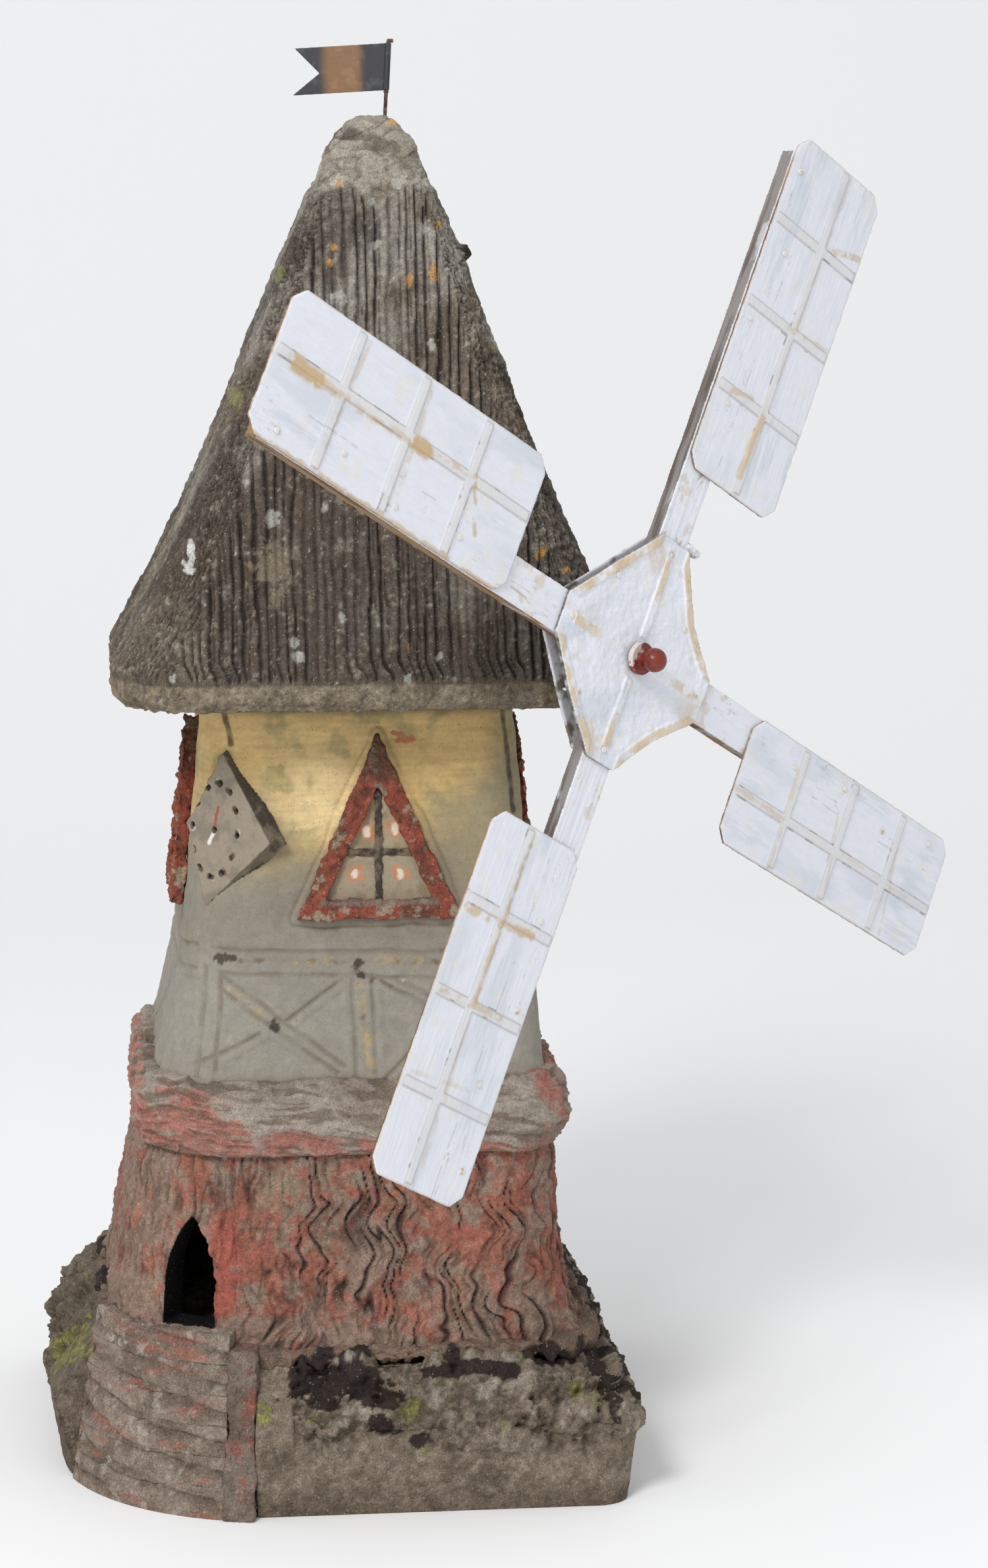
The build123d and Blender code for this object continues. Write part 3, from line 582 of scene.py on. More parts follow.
# Front window: outlines of its surround and of its opening, as (x, z) corners, and paint on the panes.
WINDOW_OUTLINE = [(-60, 481), (76, 481), (8, 633)]
WINDOW_INNER = [(-37, 497), (53, 497), (8, 591)]
WINDOW_FOOT = 481
PANE_DAUBS = [(-2, 553), (21, 555), (-12, 518), (26, 518)]
APEX_PAINT = [(31, 628, 8, 3.4), (24, 633, 5, 2.5)]

# The clock tile: degrees that it faces left of the front, its middle, and the hours' half width and height.
CLOCK_TURN = 43
CLOCK_MIDDLE = (-126, -120.4, 553)
HOUR_OVAL = (24.5, 39)
RED_HAND = ((0, 1), (3, 19))
WHITE_HAND = ((-5, -11), (1, 0))


def triangle_gap(across, z, corners):
    """Distance outside a triangle's sides; negative inside it."""
    gap = np.full(len(across), -1e3)
    for index, (start_x, start_z) in enumerate(corners):
        end_x, end_z = corners[(index + 1) % 3]
        length = math.hypot(end_x - start_x, end_z - start_z)
        side = ((across - start_x) * (end_z - start_z) - (z - start_z) * (end_x - start_x)) / length
        gap = np.maximum(gap, side)
    return gap


def timber_gap(across, z, lines):
    gap = np.full(len(across), 99.0)
    for start, end in lines:
        gap = np.minimum(gap, line_gap(across, z, start, end))
    return gap


def plastered_storey():
    piece, place, normal = dense_copy("plastered_storey", ["upper_storey"], 1.35, "tower")
    x, y, z = place.T
    across = side_of(place)[0]
    outer = outside(place, normal)
    front = (normal[:, 1] < -0.6) * outer
    other = (normal[:, 1] > -0.6) * outer
    warp = 1.4 * noise(place, 26, 31)
    gap = timber_gap(x + warp, z + warp, RAILS + POSTS + BRACES)
    side_gap = timber_gap(across + warp, z + warp, RAILS + SIDE_BRACES)
    cut = front * ramp(gap, 1.8 * LINE_WIDTH, 0.2) + other * ramp(side_gap, 1.8 * LINE_WIDTH, 0.2)
    cut = cut * (0.5 + 0.5 * ramp(noise(place, 14, 32), -0.5, 0.4))
    near = np.where(front > 0, gap, side_gap)
    raised = outer * ramp(np.abs(near - 5), 5, 1) * 0.7
    waves = fractal(stretched(place, 1.5, 1.5, 0.6), 34, 33)
    window_gap = triangle_gap(x, z, WINDOW_OUTLINE) * front + 99 * (1 - front)
    edges = [(corner, WINDOW_OUTLINE[index - 1]) for index, corner in enumerate(WINDOW_OUTLINE)]
    border = timber_gap(x, z, edges) - 6 - 2 * noise(place, 20, 30)
    moat = ramp(np.abs(border), 1.8, 0.3) * ramp(window_gap, 0, 3)
    moat *= ramp(noise(place, 34, 48), -0.5, 0.2)
    heap = ramp(window_gap, 7, 1)
    depth = outer * (0.8 * waves + 0.2 * grit(place, 34) - 1.5 * cut + 1.4 * raised)
    depth += front * (1.6 * heap - 0.9 * moat)
    foot = ramp(z, WALL_FOOT + 14, WALL_FOOT - 2)
    depth += outer * foot * (1.5 * fractal(place, 18, 35) + 1)
    moved = place + normal * depth[:, None]

    patchy = fractal(stretched(place, 1.4, 1.4, 0.9), 42, 36)
    golden = ramp(z + 26 * patchy - 0.16 * np.abs(x + 20) - 0.8 * np.maximum(x - 40, 0), 500, 578)
    shine = ramp(z + 26 * patchy, 545, 575) * ramp(z - 20 * patchy, 644, 600) * ramp(np.abs(x + 38), 62, 10)
    strokes = noise(stretched(place, 12, 12, 1), 2.2, 39)
    inside = ramp(window_gap, 0, -3)
    wobble = 0.45 * noise(place, 4, 27)
    ragged = 0.7 * fractal(place, 5, 43)
    tint = mix(rgb(145, 140, 129), WARM_GREY, ramp(z + 16 * patchy, 425, 480))
    tint = mix(tint, rgb(154, 142, 114), ramp(z + 16 * patchy, 480, 550))
    tint = mix(tint, OCHRE, 0.95 * golden)
    tint = layered(tint, [
        ((230, 206, 156), 0.65 * shine),
        ((156, 146, 104), 0.65 * golden * clouds(place, 26, 37, 0.15, 0.7)),
        ((132, 130, 120), 0.3 * clouds(place, 55, 38, 0.2, 0.9)),
    ])
    # Painted light: the wall is made lighter towards the eave, against the shadow that the eave casts.
    tint = tint * (1 + 0.13 * ramp(z, 600, 645))[:, None]
    tint = tint * (1 + 0.09 * strokes * golden + 0.02 * strokes)[:, None]
    tint = grained(tint * (1 + 0.07 * fractal(place, 9, 29))[:, None], place, 0.07, 29)
    tint = layered(tint, [
        ((116, 103, 84), 0.5 * cut),
        ((162, 148, 126), 0.85 * inside),
        ((128, 108, 84), 0.5 * inside * clouds(place, 12, 28, 0.0, 0.8)),
        ((206, 126, 76), 0.6 * front * patches(x, z, [(a, b, 8, 7) for a, b in PANE_DAUBS], wobble)),
        ((226, 216, 200), 0.85 * front * patches(x, z, [(a, b, 3.4, 4.6) for a, b in PANE_DAUBS], wobble)),
        # Painted shade: the groove around the window is darkened.
        ((110, 92, 66), 0.45 * moat * front),
        ((182, 92, 70), 0.75 * patches(x, z, APEX_PAINT, wobble) * front),
    ])
    for start, end, width in DARK_RUNS:
        band = ramp(line_gap(x + 0.8 * noise(place, 9, 41), z, start, end), width, width * 0.45) * (y < 0)
        tint = mix(tint, rgb(44, 42, 38), 0.88 * band * (0.75 + 0.25 * noise(place, 4, 42)))
    tint = mix(tint, DARK_PAINT, 0.85 * front * patches(x, z, PAINT_DAUBS, ragged))
    for start, end in PAINT_TRAILS:
        trail = front * ramp(line_gap(x, z, start, end), 4.5, 1) * ramp(noise(place, 4, 44), 0.0, 0.4)
        tint = mix(tint, rgb(104, 84, 56), 0.6 * trail)
    for start, end in YELLOW_STREAKS:
        yellow = front * ramp(line_gap(x, z, start, end), 6, 1) * clouds(place, 7, 45, -0.1, 0.5)
        tint = mix(tint, rgb(190, 160, 98), 0.35 * yellow)
    tint = layered(tint, [
        ((70, 62, 52), 0.5 * outer * spots(place, 9, 0.25, 1.0, 46)),
        ((206, 200, 190), 0.7 * outer * spots(place, 30, 0.2, 1.6, 47) * ramp(z, 460, 420)),
        ((146, 136, 124), foot * 0.6),
        # Painted shade: a dark band along the wall's top, under the eave.
        ((98, 84, 58), 0.6 * outer * ramp(z, WALL_HEAD - 9, WALL_HEAD)),
        # Painted shade: the inside of the hollow storey is near black.
        ((20, 18, 16), 1 - np.maximum(outer, ramp(normal[:, 2], 0.2, 0.6))),
    ])
    write(piece, moved, tint, CEMENT)


def window_red(place, seed, worn):
    """Worn red paint over grey mortar lumps."""
    bare = fractal(place, 8, seed)
    tint = layered(FRAME_RED, [
        ((158, 84, 66), clouds(place, 6, seed + 1, 0, 0.9)),
        ((104, 68, 54), 0.75 * clouds(place, 12, seed + 2, 0.0, 0.7)),
    ])
    return mix(tint, rgb(150, 138, 118), 0.85 * ramp(bare + worn, 0.3, 0.6))


def window_surround(node, body_seed, roughness):
    piece, place, normal = dense_copy(node.replace("_frame", "_surround"), [node], 0.9, "tower")
    x, _, z = place.T
    lumps = fractal(place, 11, body_seed)
    crumbs = fractal(place, 4, body_seed + 3, octaves=2)
    foot = ramp(z, WINDOW_FOOT + 17, WINDOW_FOOT + 8)
    depth = roughness * (1.7 * lumps + 0.8 * crumbs + 0.3 * grit(place, body_seed + 1) - 0.2)
    moved = place + normal * depth[:, None]
    top = high(node)[2]
    apex = ramp(z + 8 * lumps, top - 50, top - 16)
    tint = window_red(place, body_seed + 2, 0.35 * foot - 0.1)
    tint = layered(tint, [
        ((92, 74, 58), 0.8 * apex),
        ((132, 130, 112), 0.6 * apex * clouds(place, 8, body_seed + 6, 0.1, 0.6)),
        # Painted shade: the hollows between the lumps are darkened.
        ((74, 56, 46), 0.6 * ramp(lumps + 0.6 * crumbs, -0.35, -1.0)),
    ])
    if node == "front_window_frame":
        ridge = ramp(np.abs(triangle_gap(x, z, WINDOW_INNER)), 5, 2)
        ridge = ridge * ramp(z, WINDOW_FOOT + 24, WINDOW_FOOT + 12)
        tint = mix(tint, rgb(122, 114, 104), 0.8 * ridge)
    write(piece, moved, tint, BARK)


def clock():
    piece, place, normal = dense_copy(
        "clock_tile", ["clock_panel"], 0.7, "tower", smoothing=1)
    turn = math.radians(CLOCK_TURN)
    sideways = np.array([math.cos(turn), -math.sin(turn), 0])
    outward = np.array([-math.sin(turn), -math.cos(turn), 0])
    side = (place - np.array(CLOCK_MIDDLE)) @ sideways
    level = place[:, 2] - CLOCK_MIDDLE[2]
    bevel = ramp(normal @ outward, 0.93, 0.8)
    face = 1 - bevel
    lumps = fractal(place, 9, 81)
    depth = 0.5 * fractal(place, 16, 82) + 0.35 * lumps + 0.15 * grit(place, 83) + 0.8 * bevel * lumps
    red_hand = face * ramp(line_gap(side, level, *RED_HAND) + 0.4 * noise(place, 4, 84), 2.0, 0.8)
    white_hand = face * ramp(line_gap(side, level, *WHITE_HAND) + 0.5 * noise(place, 4, 85), 2.6, 1.2)
    moved = place + normal * (depth + 0.6 * red_hand + 0.7 * white_hand)[:, None]
    tint = layered(rgb(146, 135, 118), [
        ((127, 119, 105), clouds(place, 14, 86, -0.3, 0.7)),
        ((104, 94, 78), 0.7 * bevel),
        ((50, 46, 40), 0.75 * bevel * ramp(side, 5, 30) * ramp(lumps + 0.02 * level, -0.5, 0.5)),
    ])
    for hour in range(12):
        angle = math.radians(30 * hour)
        reach = np.hypot(side - HOUR_OVAL[0] * math.sin(angle), level - HOUR_OVAL[1] * math.cos(angle))
        ring = face * ramp(reach + 0.9 * noise(place, 3, 87 + hour), 3.8, 2.6)
        paint = rgb(206, 202, 194) if hour % 3 == 0 else rgb(128, 78, 64)
        tint = mix(tint, paint, 0.6 * ring * ramp(noise(place, 5, 88), -0.3, 0.2))
        # Painted shade: the holes of the hour ring are darkened.
        hole = face * ramp(reach, 2.6, 1.8)
        tint = mix(tint, rgb(70, 52, 44), 0.85 * hole)
    tint = layered(tint, [
        ((152, 78, 64), 0.9 * red_hand),
        ((228, 224, 216), 0.9 * white_hand),
        ((76, 68, 58), 0.5 * spots(place, 7, 0.2, 0.9, 89)),
    ])
    write(piece, moved, tint, CEMENT)


# ---- Ledge and lower storey ----
SIDES_APART = 500.0
BARK_RED = rgb(148, 91, 78)
BARK_PITCH = 11.5
WALL_PER_DEGREE = 3.3
JAMB_X = -122
BARE_PATCHES = [(-78, 258, 17, 22), (-16, 268, 8, 9), (70, 262, 9, 7)]


def torn_ledge():
    piece, place, normal = dense_copy(
        "gallery_ledge_mortar", ["gallery_ledge"], 1.3, "tower", smoothing=1)
    x, y, z = place.T
    across = side_of(place)[0]
    outer = np.maximum(outside(place, normal), ramp(normal[:, 2], 0.3, 0.7))
    around = np.stack([across, np.where(np.abs(x) > np.abs(y), SIDES_APART, 0.0), z], axis=1)
    slant = around.copy()
    slant[:, 2] += 0.12 * across + 4 * noise(around, 46, 101)
    fibres = 1 - np.abs(noise(stretched(slant, 8, 1, 1), 3.4, 102))
    tears = 1 - np.abs(fractal(stretched(slant, 4.5, 1, 1), 8, 103))
    rough = ramp(np.abs(x), 80, 160)
    crumbs = fractal(place, 5, 109, octaves=3)
    depth = outer * (2.2 * (tears - 0.75) * (0.5 + rough) + 1.4 * (fibres - 0.6) + 0.6 * crumbs)
    depth += outer * (2.4 * fractal(place, 30, 105) + 1.6 * rough * fractal(place, 11, 110))
    moved = place + normal * depth[:, None]
    painted = ramp(-x, 92, 128) * ramp(z, 352, 340) + ramp(z + 0.10 * (x + 60), 322, 306)
    painted = np.clip(painted + 0.9 * ramp(x, 110, 150) + 0.6 * fractal(slant, 20, 107) - 0.15, 0, 1)
    tint = layered(rgb(156, 146, 134), [
        ((134, 122, 110), clouds(stretched(slant, 3, 1, 1), 14, 106, -0.3, 0.7)),
        ((164, 100, 88), 0.8 * ramp(painted, 0.35, 0.85)),
        ((152, 140, 126), 0.75 * ramp(painted, 0.3, 0.8) * ramp(fibres + 0.3 * crumbs, 0.85, 1.05)),
        # Painted shade: the hollows of the tears and the grooves between the fibres are darkened.
        ((96, 80, 66), 0.6 * outer * ramp(tears, 0.66, 0.4)),
        ((100, 84, 70), 0.5 * outer * ramp(fibres, 0.35, 0.12)),
    ])
    tint = grained(tint, place, 0.16, 111)
    tint = layered(tint, [
        ((196, 190, 180), 0.5 * outer * spots(place, 15, 0.18, 1.4, 108)),
        # Painted shade: faces that look downwards are darkened.
        ((110, 98, 84), 0.6 * ramp(normal[:, 2], -0.2, -0.7)),
    ])
    write(piece, moved, tint, BARK)


def bark_storey():
    piece, place, normal = dense_copy(
        "bark_storey", ["lower_storey"], 1.3, "tower", smoothing=1)
    x, y, z = place.T
    outer = outside(place, normal)
    turn = np.degrees(np.arctan2(x, -y))
    arc = turn * WALL_PER_DEGREE
    level = np.stack([arc, np.zeros_like(arc), z], axis=1)
    wavy = ramp(turn, -38, -12)
    sway = 13 * noise(stretched(level, 2.2, 1, 1), 30, 111)
    sway = sway + 5 * noise(stretched(level, 1.4, 1, 0.8), 15, 112)
    strand = level.copy()
    strand[:, 0] += sway * ramp(z, LEDGE_Z + 6, LEDGE_Z - 50) * (0.25 + 0.75 * wavy)
    pitch = strand[:, 0] / BARK_PITCH + 0.9 * noise(stretched(strand, 1, 1, 3.5), 15, 113)
    fold = pitch - np.floor(pitch)
    shown = ramp(noise(stretched(strand, 1, 1, 2.6), 15, 114), -0.3, 0.25) * (0.25 + 0.75 * wavy)
    groove = ramp(np.minimum(fold, 1 - fold), 0.13, 0.02) * shown
    cracks = 1 - np.abs(noise(stretched(strand, 1, 1, 5.5), 6, 115))
    fine = ramp(cracks, 0.68, 0.96) * ramp(noise(level, 20, 116), -0.2, 0.4)
    hatch = noise(stretched(strand, 1, 1, 6), 3.6, 117)
    crumbs = fractal(place, 5, 118, octaves=3)
    folds = 4.0 * (1 - fold) * shown - 4.2 * groove - 1.6 * fine
    depth = outer * (folds + 0.9 * hatch * (1.2 - wavy) + crumbs)
    depth += outer * (1.8 * fractal(place, 20, 119) - 0.6)
    flare = ramp(z, 168, 128) * outer
    depth += flare * (1.5 + 3.4 * fractal(place, 22, 126))
    depth += outer * ramp(z, LEDGE_Z - 14, LEDGE_Z) * -2.0
    moved = place + normal * depth[:, None]

    worn = fractal(place, 26, 120) + 0.6 * fractal(place, 8, 121) + 0.3 * crumbs
    low_down = ramp(z, 196, 140)
    bare_patch = patches(x, z, BARE_PATCHES, 0.8 * fractal(place, 9, 124))
    jamb = np.exp(-((x - JAMB_X) / 15) ** 2) * ramp(z, 262, 210) * ramp(z, 150, 165) * (y < 0)
    tint = layered(BARK_RED, [
        ((158, 106, 88), clouds(place, 30, 122, -0.4, 0.7)),
        ((134, 82, 68), 0.6 * clouds(place, 14, 123, 0.1, 0.8)),
        ((136, 120, 106), 0.85 * ramp(worn + 0.7 * low_down + 0.32 + 0.5 * ramp(x, -150, -185), 0.0, 0.9)),
        # Painted shade: the hollows of the hatching and crumbs are darkened.
        ((110, 88, 72), 0.7 * ramp(hatch + 0.6 * crumbs, 0.2, -1.0)),
        # Painted shade: the bark grooves and fine cracks are darkened.
        ((56, 45, 38), np.clip((0.88 * groove + 0.5 * fine) * outer, 0, 0.84)),
        ((140, 130, 110), 0.5 * bare_patch * (y < 0)),
    ])
    tint = grained(tint, place, 0.28, 127)
    tint = layered(tint, [
        ((196, 182, 160), 0.6 * outer * spots(place, 14, 0.2, 1.4, 125)),
        ((160, 84, 70), 0.75 * jamb * ramp(worn, 0.9, -0.2)),
        # Painted shade: the inside of the hollow storey is near black.
        ((6, 5, 5), ramp(1 - outer, 0.2, 0.9)),
    ])
    write(piece, moved, tint, BARK)


# ---- Plinth, stair and bitumen ----
STAIR_MIDDLE = (-73, -55)
STAIR_FOOT = 190
STAIR_HEAD = 165
STAIR_SLOPE = 0.55
STEP_HEIGHT = SILL_Z / 6

# Bitumen and moss on the plinth's front, as (x, z, half width, half height).
TAR_BLOTS = [
    (-24, 106, 40, 16), (-58, 116, 16, 16), (10, 98, 16, 12), (3, 76, 9, 7), (34, 62, 11, 6),
    (44, 112, 18, 7), (80, 114, 22, 6), (108, 112, 14, 6), (150, 125, 24, 9), (-42, 132, 6, 10),
    (62, 122, 6, 9), (16, 70, 6, 4), (-50, 128, 9, 8), (-12, 128, 10, 7), (128, 120, 12, 5),
]
MOSS_MIDDLE = (-235, -40)
MOSS_PATCHES = [(188, 90, 12, 9), (102, 72, 6, 5), (38, 54, 9, 4), (24, 84, 6, 5), (-196, 60, 6, 9)]


def lumpy_plinth():
    piece, place, normal = dense_copy(
        "lumpy_plinth", ["base_plinth"], 1.6, "tower", smoothing=1)
    x, y, z = place.T
    side = outside(place, normal)
    skin = np.clip(side + ramp(normal[:, 2], 0.15, 0.5), 0, 1) * ramp(z, 0, 6)
    stair = ramp(np.hypot(x - STAIR_MIDDLE[0], y - STAIR_MIDDLE[1]), 214, 196) * (x < -70) * (y < -40)
    upper = ramp(z + 9 * noise(place, 30, 131) + 4 * noise(place, 11, 130), 48, 64) * (1 - stair)
    mounds = fractal(place, 34, 132)
    knobs = fractal(place, 12, 133)
    crumbs = fractal(place, 5, 129, octaves=3)
    shelf = ramp(mounds + 0.3 * knobs, -0.15, 0.2)
    stones = np.abs(noise(place + 5 * mounds[:, None], 15, 147))
    crease_shade = ramp(stones, 0.14, 0.0)
    depth = skin * (0.9 * fractal(place, 24, 134) + 0.5 * crumbs)
    rubble = 9 * shelf - 7.5 + 3.2 * mounds + 2.0 * knobs + 1.6 * crumbs + 5 * np.minimum(stones, 0.6)
    depth += skin * upper * rubble
    moved = place + normal * depth[:, None]
    moved[:, 2] = np.where(z < 6, z, moved[:, 2])
    moss = fractal(place, 20, 138) + ramp(np.hypot(x - MOSS_MIDDLE[0], y - MOSS_MIDDLE[1]), 95, 40) - 0.25
    moss = moss * ramp(z, 66, 82)
    wobble = 0.6 * fractal(place, 7, 140)
    front = (y < 0) * 1.0
    tar = patches(x, z, TAR_BLOTS, 0.55 * fractal(place, 17, 141) + 0.2 * crumbs) * front
    slope = ramp(x + 0.25 * (z - 100), 180, 190)
    slope = slope * ramp(fractal(place, 24, 145) + 0.02 * (z - 90), -0.35, 0.1) * ramp(z, 60, 72)
    tar = ramp(np.maximum(tar, slope) * ramp(z, 44, 56), 0.35, 0.65)

    tint = layered(rgb(124, 111, 96), [
        ((102, 90, 76), ramp(fractal(place, 26, 136, gain=0.75), -0.2, 0.8)),
        ((138, 126, 111), 0.8 * ramp(fractal(place, 14, 137, gain=0.75), 0.1, 0.8)),
        # Painted shade: the low places between the shelves and knobs are darkened.
        ((82, 71, 61), 0.6 * upper * ramp(shelf * 0.6 + 0.5 * knobs + 0.3 * crumbs, 0.0, -0.6)),
        # Painted highlight: the raised knobs and mounds are made lighter.
        ((156, 147, 134), 0.6 * upper * ramp(knobs + mounds, 0.3, 1.2)),
        # Painted shade: the creases between the stones are darkened.
        ((72, 61, 52), 0.65 * upper * crease_shade),
        ((84, 72, 58), 0.55 * ramp(z, 26, 4) * side),
        ((84, 74, 62), 0.55 * skin * ramp(x, -120, -200)),
        ((84, 74, 60), 0.5 * ramp(moss, 0.1, 0.4)),
        ((128, 128, 66), 0.85 * ramp(moss, 0.35, 0.5) * ramp(noise(place, 5, 139), -0.7, 0.3)),
    ])
    tint = grained(tint, place, 0.4, 146)
    tint = layered(tint, [
        ((130, 128, 84), 0.55 * front * patches(x, z, MOSS_PATCHES, wobble)),
        ((46, 37, 35), 0.95 * tar),
        ((196, 178, 150), 0.6 * skin * spots(place, 20, 0.16, 1.8, 142) * (1 - tar)),
        ((188, 132, 62), 0.7 * skin * spots(place, 34, 0.14, 2.4, 144)),
        ((54, 46, 40), 0.55 * skin * spots(place, 12, 0.25, 1.4, 143)),
    ])
    write(piece, moved, tint, ROCK)


def worn_stair():
    piece, place, normal = dense_copy("worn_stair", ["stair_flight"], 1.2, "tower")
    x, y, z = place.T
    skin = np.clip(outside(place, normal) + ramp(normal[:, 2], 0.3, 0.7), 0, 1) * ramp(z, 0, 5)
    swell = fractal(stretched(place, 2.2, 2.2, 0.8), 16, 151)
    crumbs = fractal(place, 5, 157, octaves=3)
    reach = np.hypot(x - STAIR_MIDDLE[0], y - STAIR_MIDDLE[1])
    turn = np.degrees(np.arctan2(STAIR_MIDDLE[0] - x, STAIR_MIDDLE[1] - y))
    step = (z - STAIR_SLOPE * (turn - 45) + 3 * swell) / STEP_HEIGHT
    tread = ramp(np.abs(step - np.round(step)), 0.24, 0.04)
    worn = STAIR_FOOT - (STAIR_FOOT - STAIR_HEAD) * z / SILL_Z
    flank = ramp(reach, STAIR_HEAD - 12, STAIR_HEAD - 4) * ramp(z, SILL_Z + 1, SILL_Z - 4)
    depth = skin * (1.7 * swell + 0.9 * crumbs + 0.8 - 3.0 * flank * tread)
    outwards = np.stack([x - STAIR_MIDDLE[0], y - STAIR_MIDDLE[1], 0 * z], axis=1) / reach[:, None]
    moved = place + outwards * (flank * (worn - reach))[:, None] + normal * depth[:, None]
    tint = layered(rgb(138, 124, 111), [
        ((114, 100, 87), clouds(place, 20, 153, -0.3, 0.8)),
        # Painted shade: the grooves at the step edges are darkened.
        ((96, 81, 68), 0.5 * flank * tread),
        ((150, 98, 84), 0.7 * clouds(stretched(place, 2.5, 2.5, 0.6), 12, 154, 0.2, 0.75)),
        ((168, 158, 146), 0.6 * clouds(place, 9, 155, 0.35, 0.9)),
    ])
    tint = grained(tint, place, 0.2, 158)
    tint = mix(tint, rgb(200, 190, 170), 0.5 * skin * spots(place, 18, 0.18, 1.4, 156))
    write(piece, moved, tint, ROCK)


def worn_cheek():
    piece, place, normal = dense_copy("worn_stair_cheek", ["stair_cheek"], 1.3, "tower")
    depth = 2.4 * fractal(place, 14, 161) + 0.9 * grit(place, 162)
    moved = place + normal * (depth * ramp(place[:, 2], 0, 5))[:, None]
    tint = layered(rgb(122, 108, 97), [
        ((100, 86, 74), clouds(place, 18, 163, -0.3, 0.7)),
        ((148, 84, 72), 0.6 * clouds(stretched(place, 1, 1, 2), 12, 164, 0.2, 0.7)),
    ])
    tint = grained(tint, place, 0.22, 166)
    tint = mix(tint, rgb(196, 188, 178), 0.5 * spots(place, 14, 0.25, 1.6, 165))
    write(piece, moved, tint, ROCK)


def tar_seal():
    piece, place, normal = dense_copy("bitumen_bead", ["bitumen_seal"], 1.5, "tower")
    ragged = fractal(place, 18, 171)
    depth = 5.0 * ragged + 1.8 * fractal(place, 6, 172) + 1.5
    moved = place + normal * depth[:, None]
    moved[:, 2] -= 3 * ramp(ragged, -0.4, 0.6)
    tar = patches(place[:, 0], place[:, 2], TAR_BLOTS, 0.55 * fractal(place, 17, 141)) * (place[:, 1] < 0)
    tar = np.maximum(tar, clouds(place, 26, 173, 0.0, 0.2) * (place[:, 1] > 0))
    tint = layered(rgb(126, 104, 90), [
        ((104, 88, 76), ramp(ragged, -0.3, 0.8)),
        ((46, 37, 35), 0.95 * tar),
    ])
    write(piece, moved, tint, ROCK)


# ---- Sails ----
def sail_frame(place):
    """Places in the sail plane: to the right, up, and out along the axle."""
    return np.stack([place @ SAIL_RIGHT, place[:, 2] - HUB_Z, place @ AXLE], axis=1)


def arm_frame(place, index):
    """Along one arm, clockwise from it, and out along the axle."""
    right, upward, out = sail_frame(place).T
    angle = math.radians(FIRST_ARM + 90 * index)
    along = right * math.sin(angle) + upward * math.cos(angle)
    aside = right * math.cos(angle) - upward * math.sin(angle)
    return np.stack([along, aside, out], axis=1)


WHITE = rgb(222, 224, 231)
SHADE_WHITE = rgb(196, 203, 212)
TAN = rgb(196, 168, 128)
CRACK = rgb(84, 72, 64)


def old_white(local, facing, seed, bare=(122, 118, 118), dark=(88, 82, 80)):
    """Brushed white paint in front, bare wood at the sides and the back."""
    dull = fractal(stretched(local, 3, 1, 1), 30, seed)
    streak = fractal(stretched(local, 16, 1, 4), 1.8, seed + 1, octaves=2)
    wood = mix(rgb(*bare), rgb(*dark), clouds(stretched(local, 12, 1, 1), 5, seed + 3, -0.4, 0.8))
    wood = mix(wood, WHITE, 0.4 * clouds(stretched(local, 3, 1, 1), 12, seed + 4, 0.4, 0.75))
    tint = mix(WHITE, SHADE_WHITE, 0.5 * ramp(dull, 0.0, 0.9))
    tint = tint * (1 + 0.015 * streak)[:, None]
    tint = mix(tint, rgb(224, 219, 206), 0.4 * clouds(local, 16, seed + 2, 0.45, 0.9))
    return mix(wood, tint, ramp(facing, 0.25, 0.6))


# Tan stains on each sail, as (along, aside) ends, half width and strength.
STAINS = [
    [((180, 44), (262, 49), 4, 0.9), ((236, 0), (242, 30), 3, 0.7), ((312, 40), (318, 96), 2.5, 0.5),
     ((392, 60), (404, 97), 3, 0.8), ((262, 49), (455, 55), 2, 0.35)],
    [((165, 46), (240, 48), 2.5, 0.6), ((232, 5), (235, 90), 2, 0.45), ((300, 15), (316, 88), 2, 0.4),
     ((390, 12), (404, 88), 2, 0.4), ((320, 46), (420, 47), 2, 0.3)],
    [((178, 43), (305, 44), 3.5, 0.9), ((240, 8), (243, 50), 4, 1.0), ((243, 60), (245, 86), 4, 0.9),
     ((309, 12), (312, 84), 3, 0.75), ((371, 14), (377, 82), 2, 0.35), ((305, 44), (440, 37), 2, 0.4)],
    [((412, 43), (440, 45), 7, 1.3), ((372, 42), (412, 43), 4, 0.7), ((288, 46), (304, 46), 7, 1.3),
     ((232, 50), (288, 47), 3, 0.7), ((304, 44), (372, 42), 3, 0.6), ((212, 12), (230, 45), 3, 0.9),
     ((300, 6), (303, 86), 2.5, 0.5), ((376, 90), (382, 4), 2.5, 0.5), ((166, -17), (455, -17), 2.5, 0.9)],
]

# Places on a sail: across the arm, along it, and out along the axle for the hub's face.
LONG_LATH = 47
CROSS_LATHS = (236, 310, 386)
SAIL_EDGE = (100, 93, 92, 97)
SAIL_INNER_EDGE = -18
SAIL_START = 162
SAIL_END = 460
BOARD_JOINT = 17
HUB_FACE = 323.6


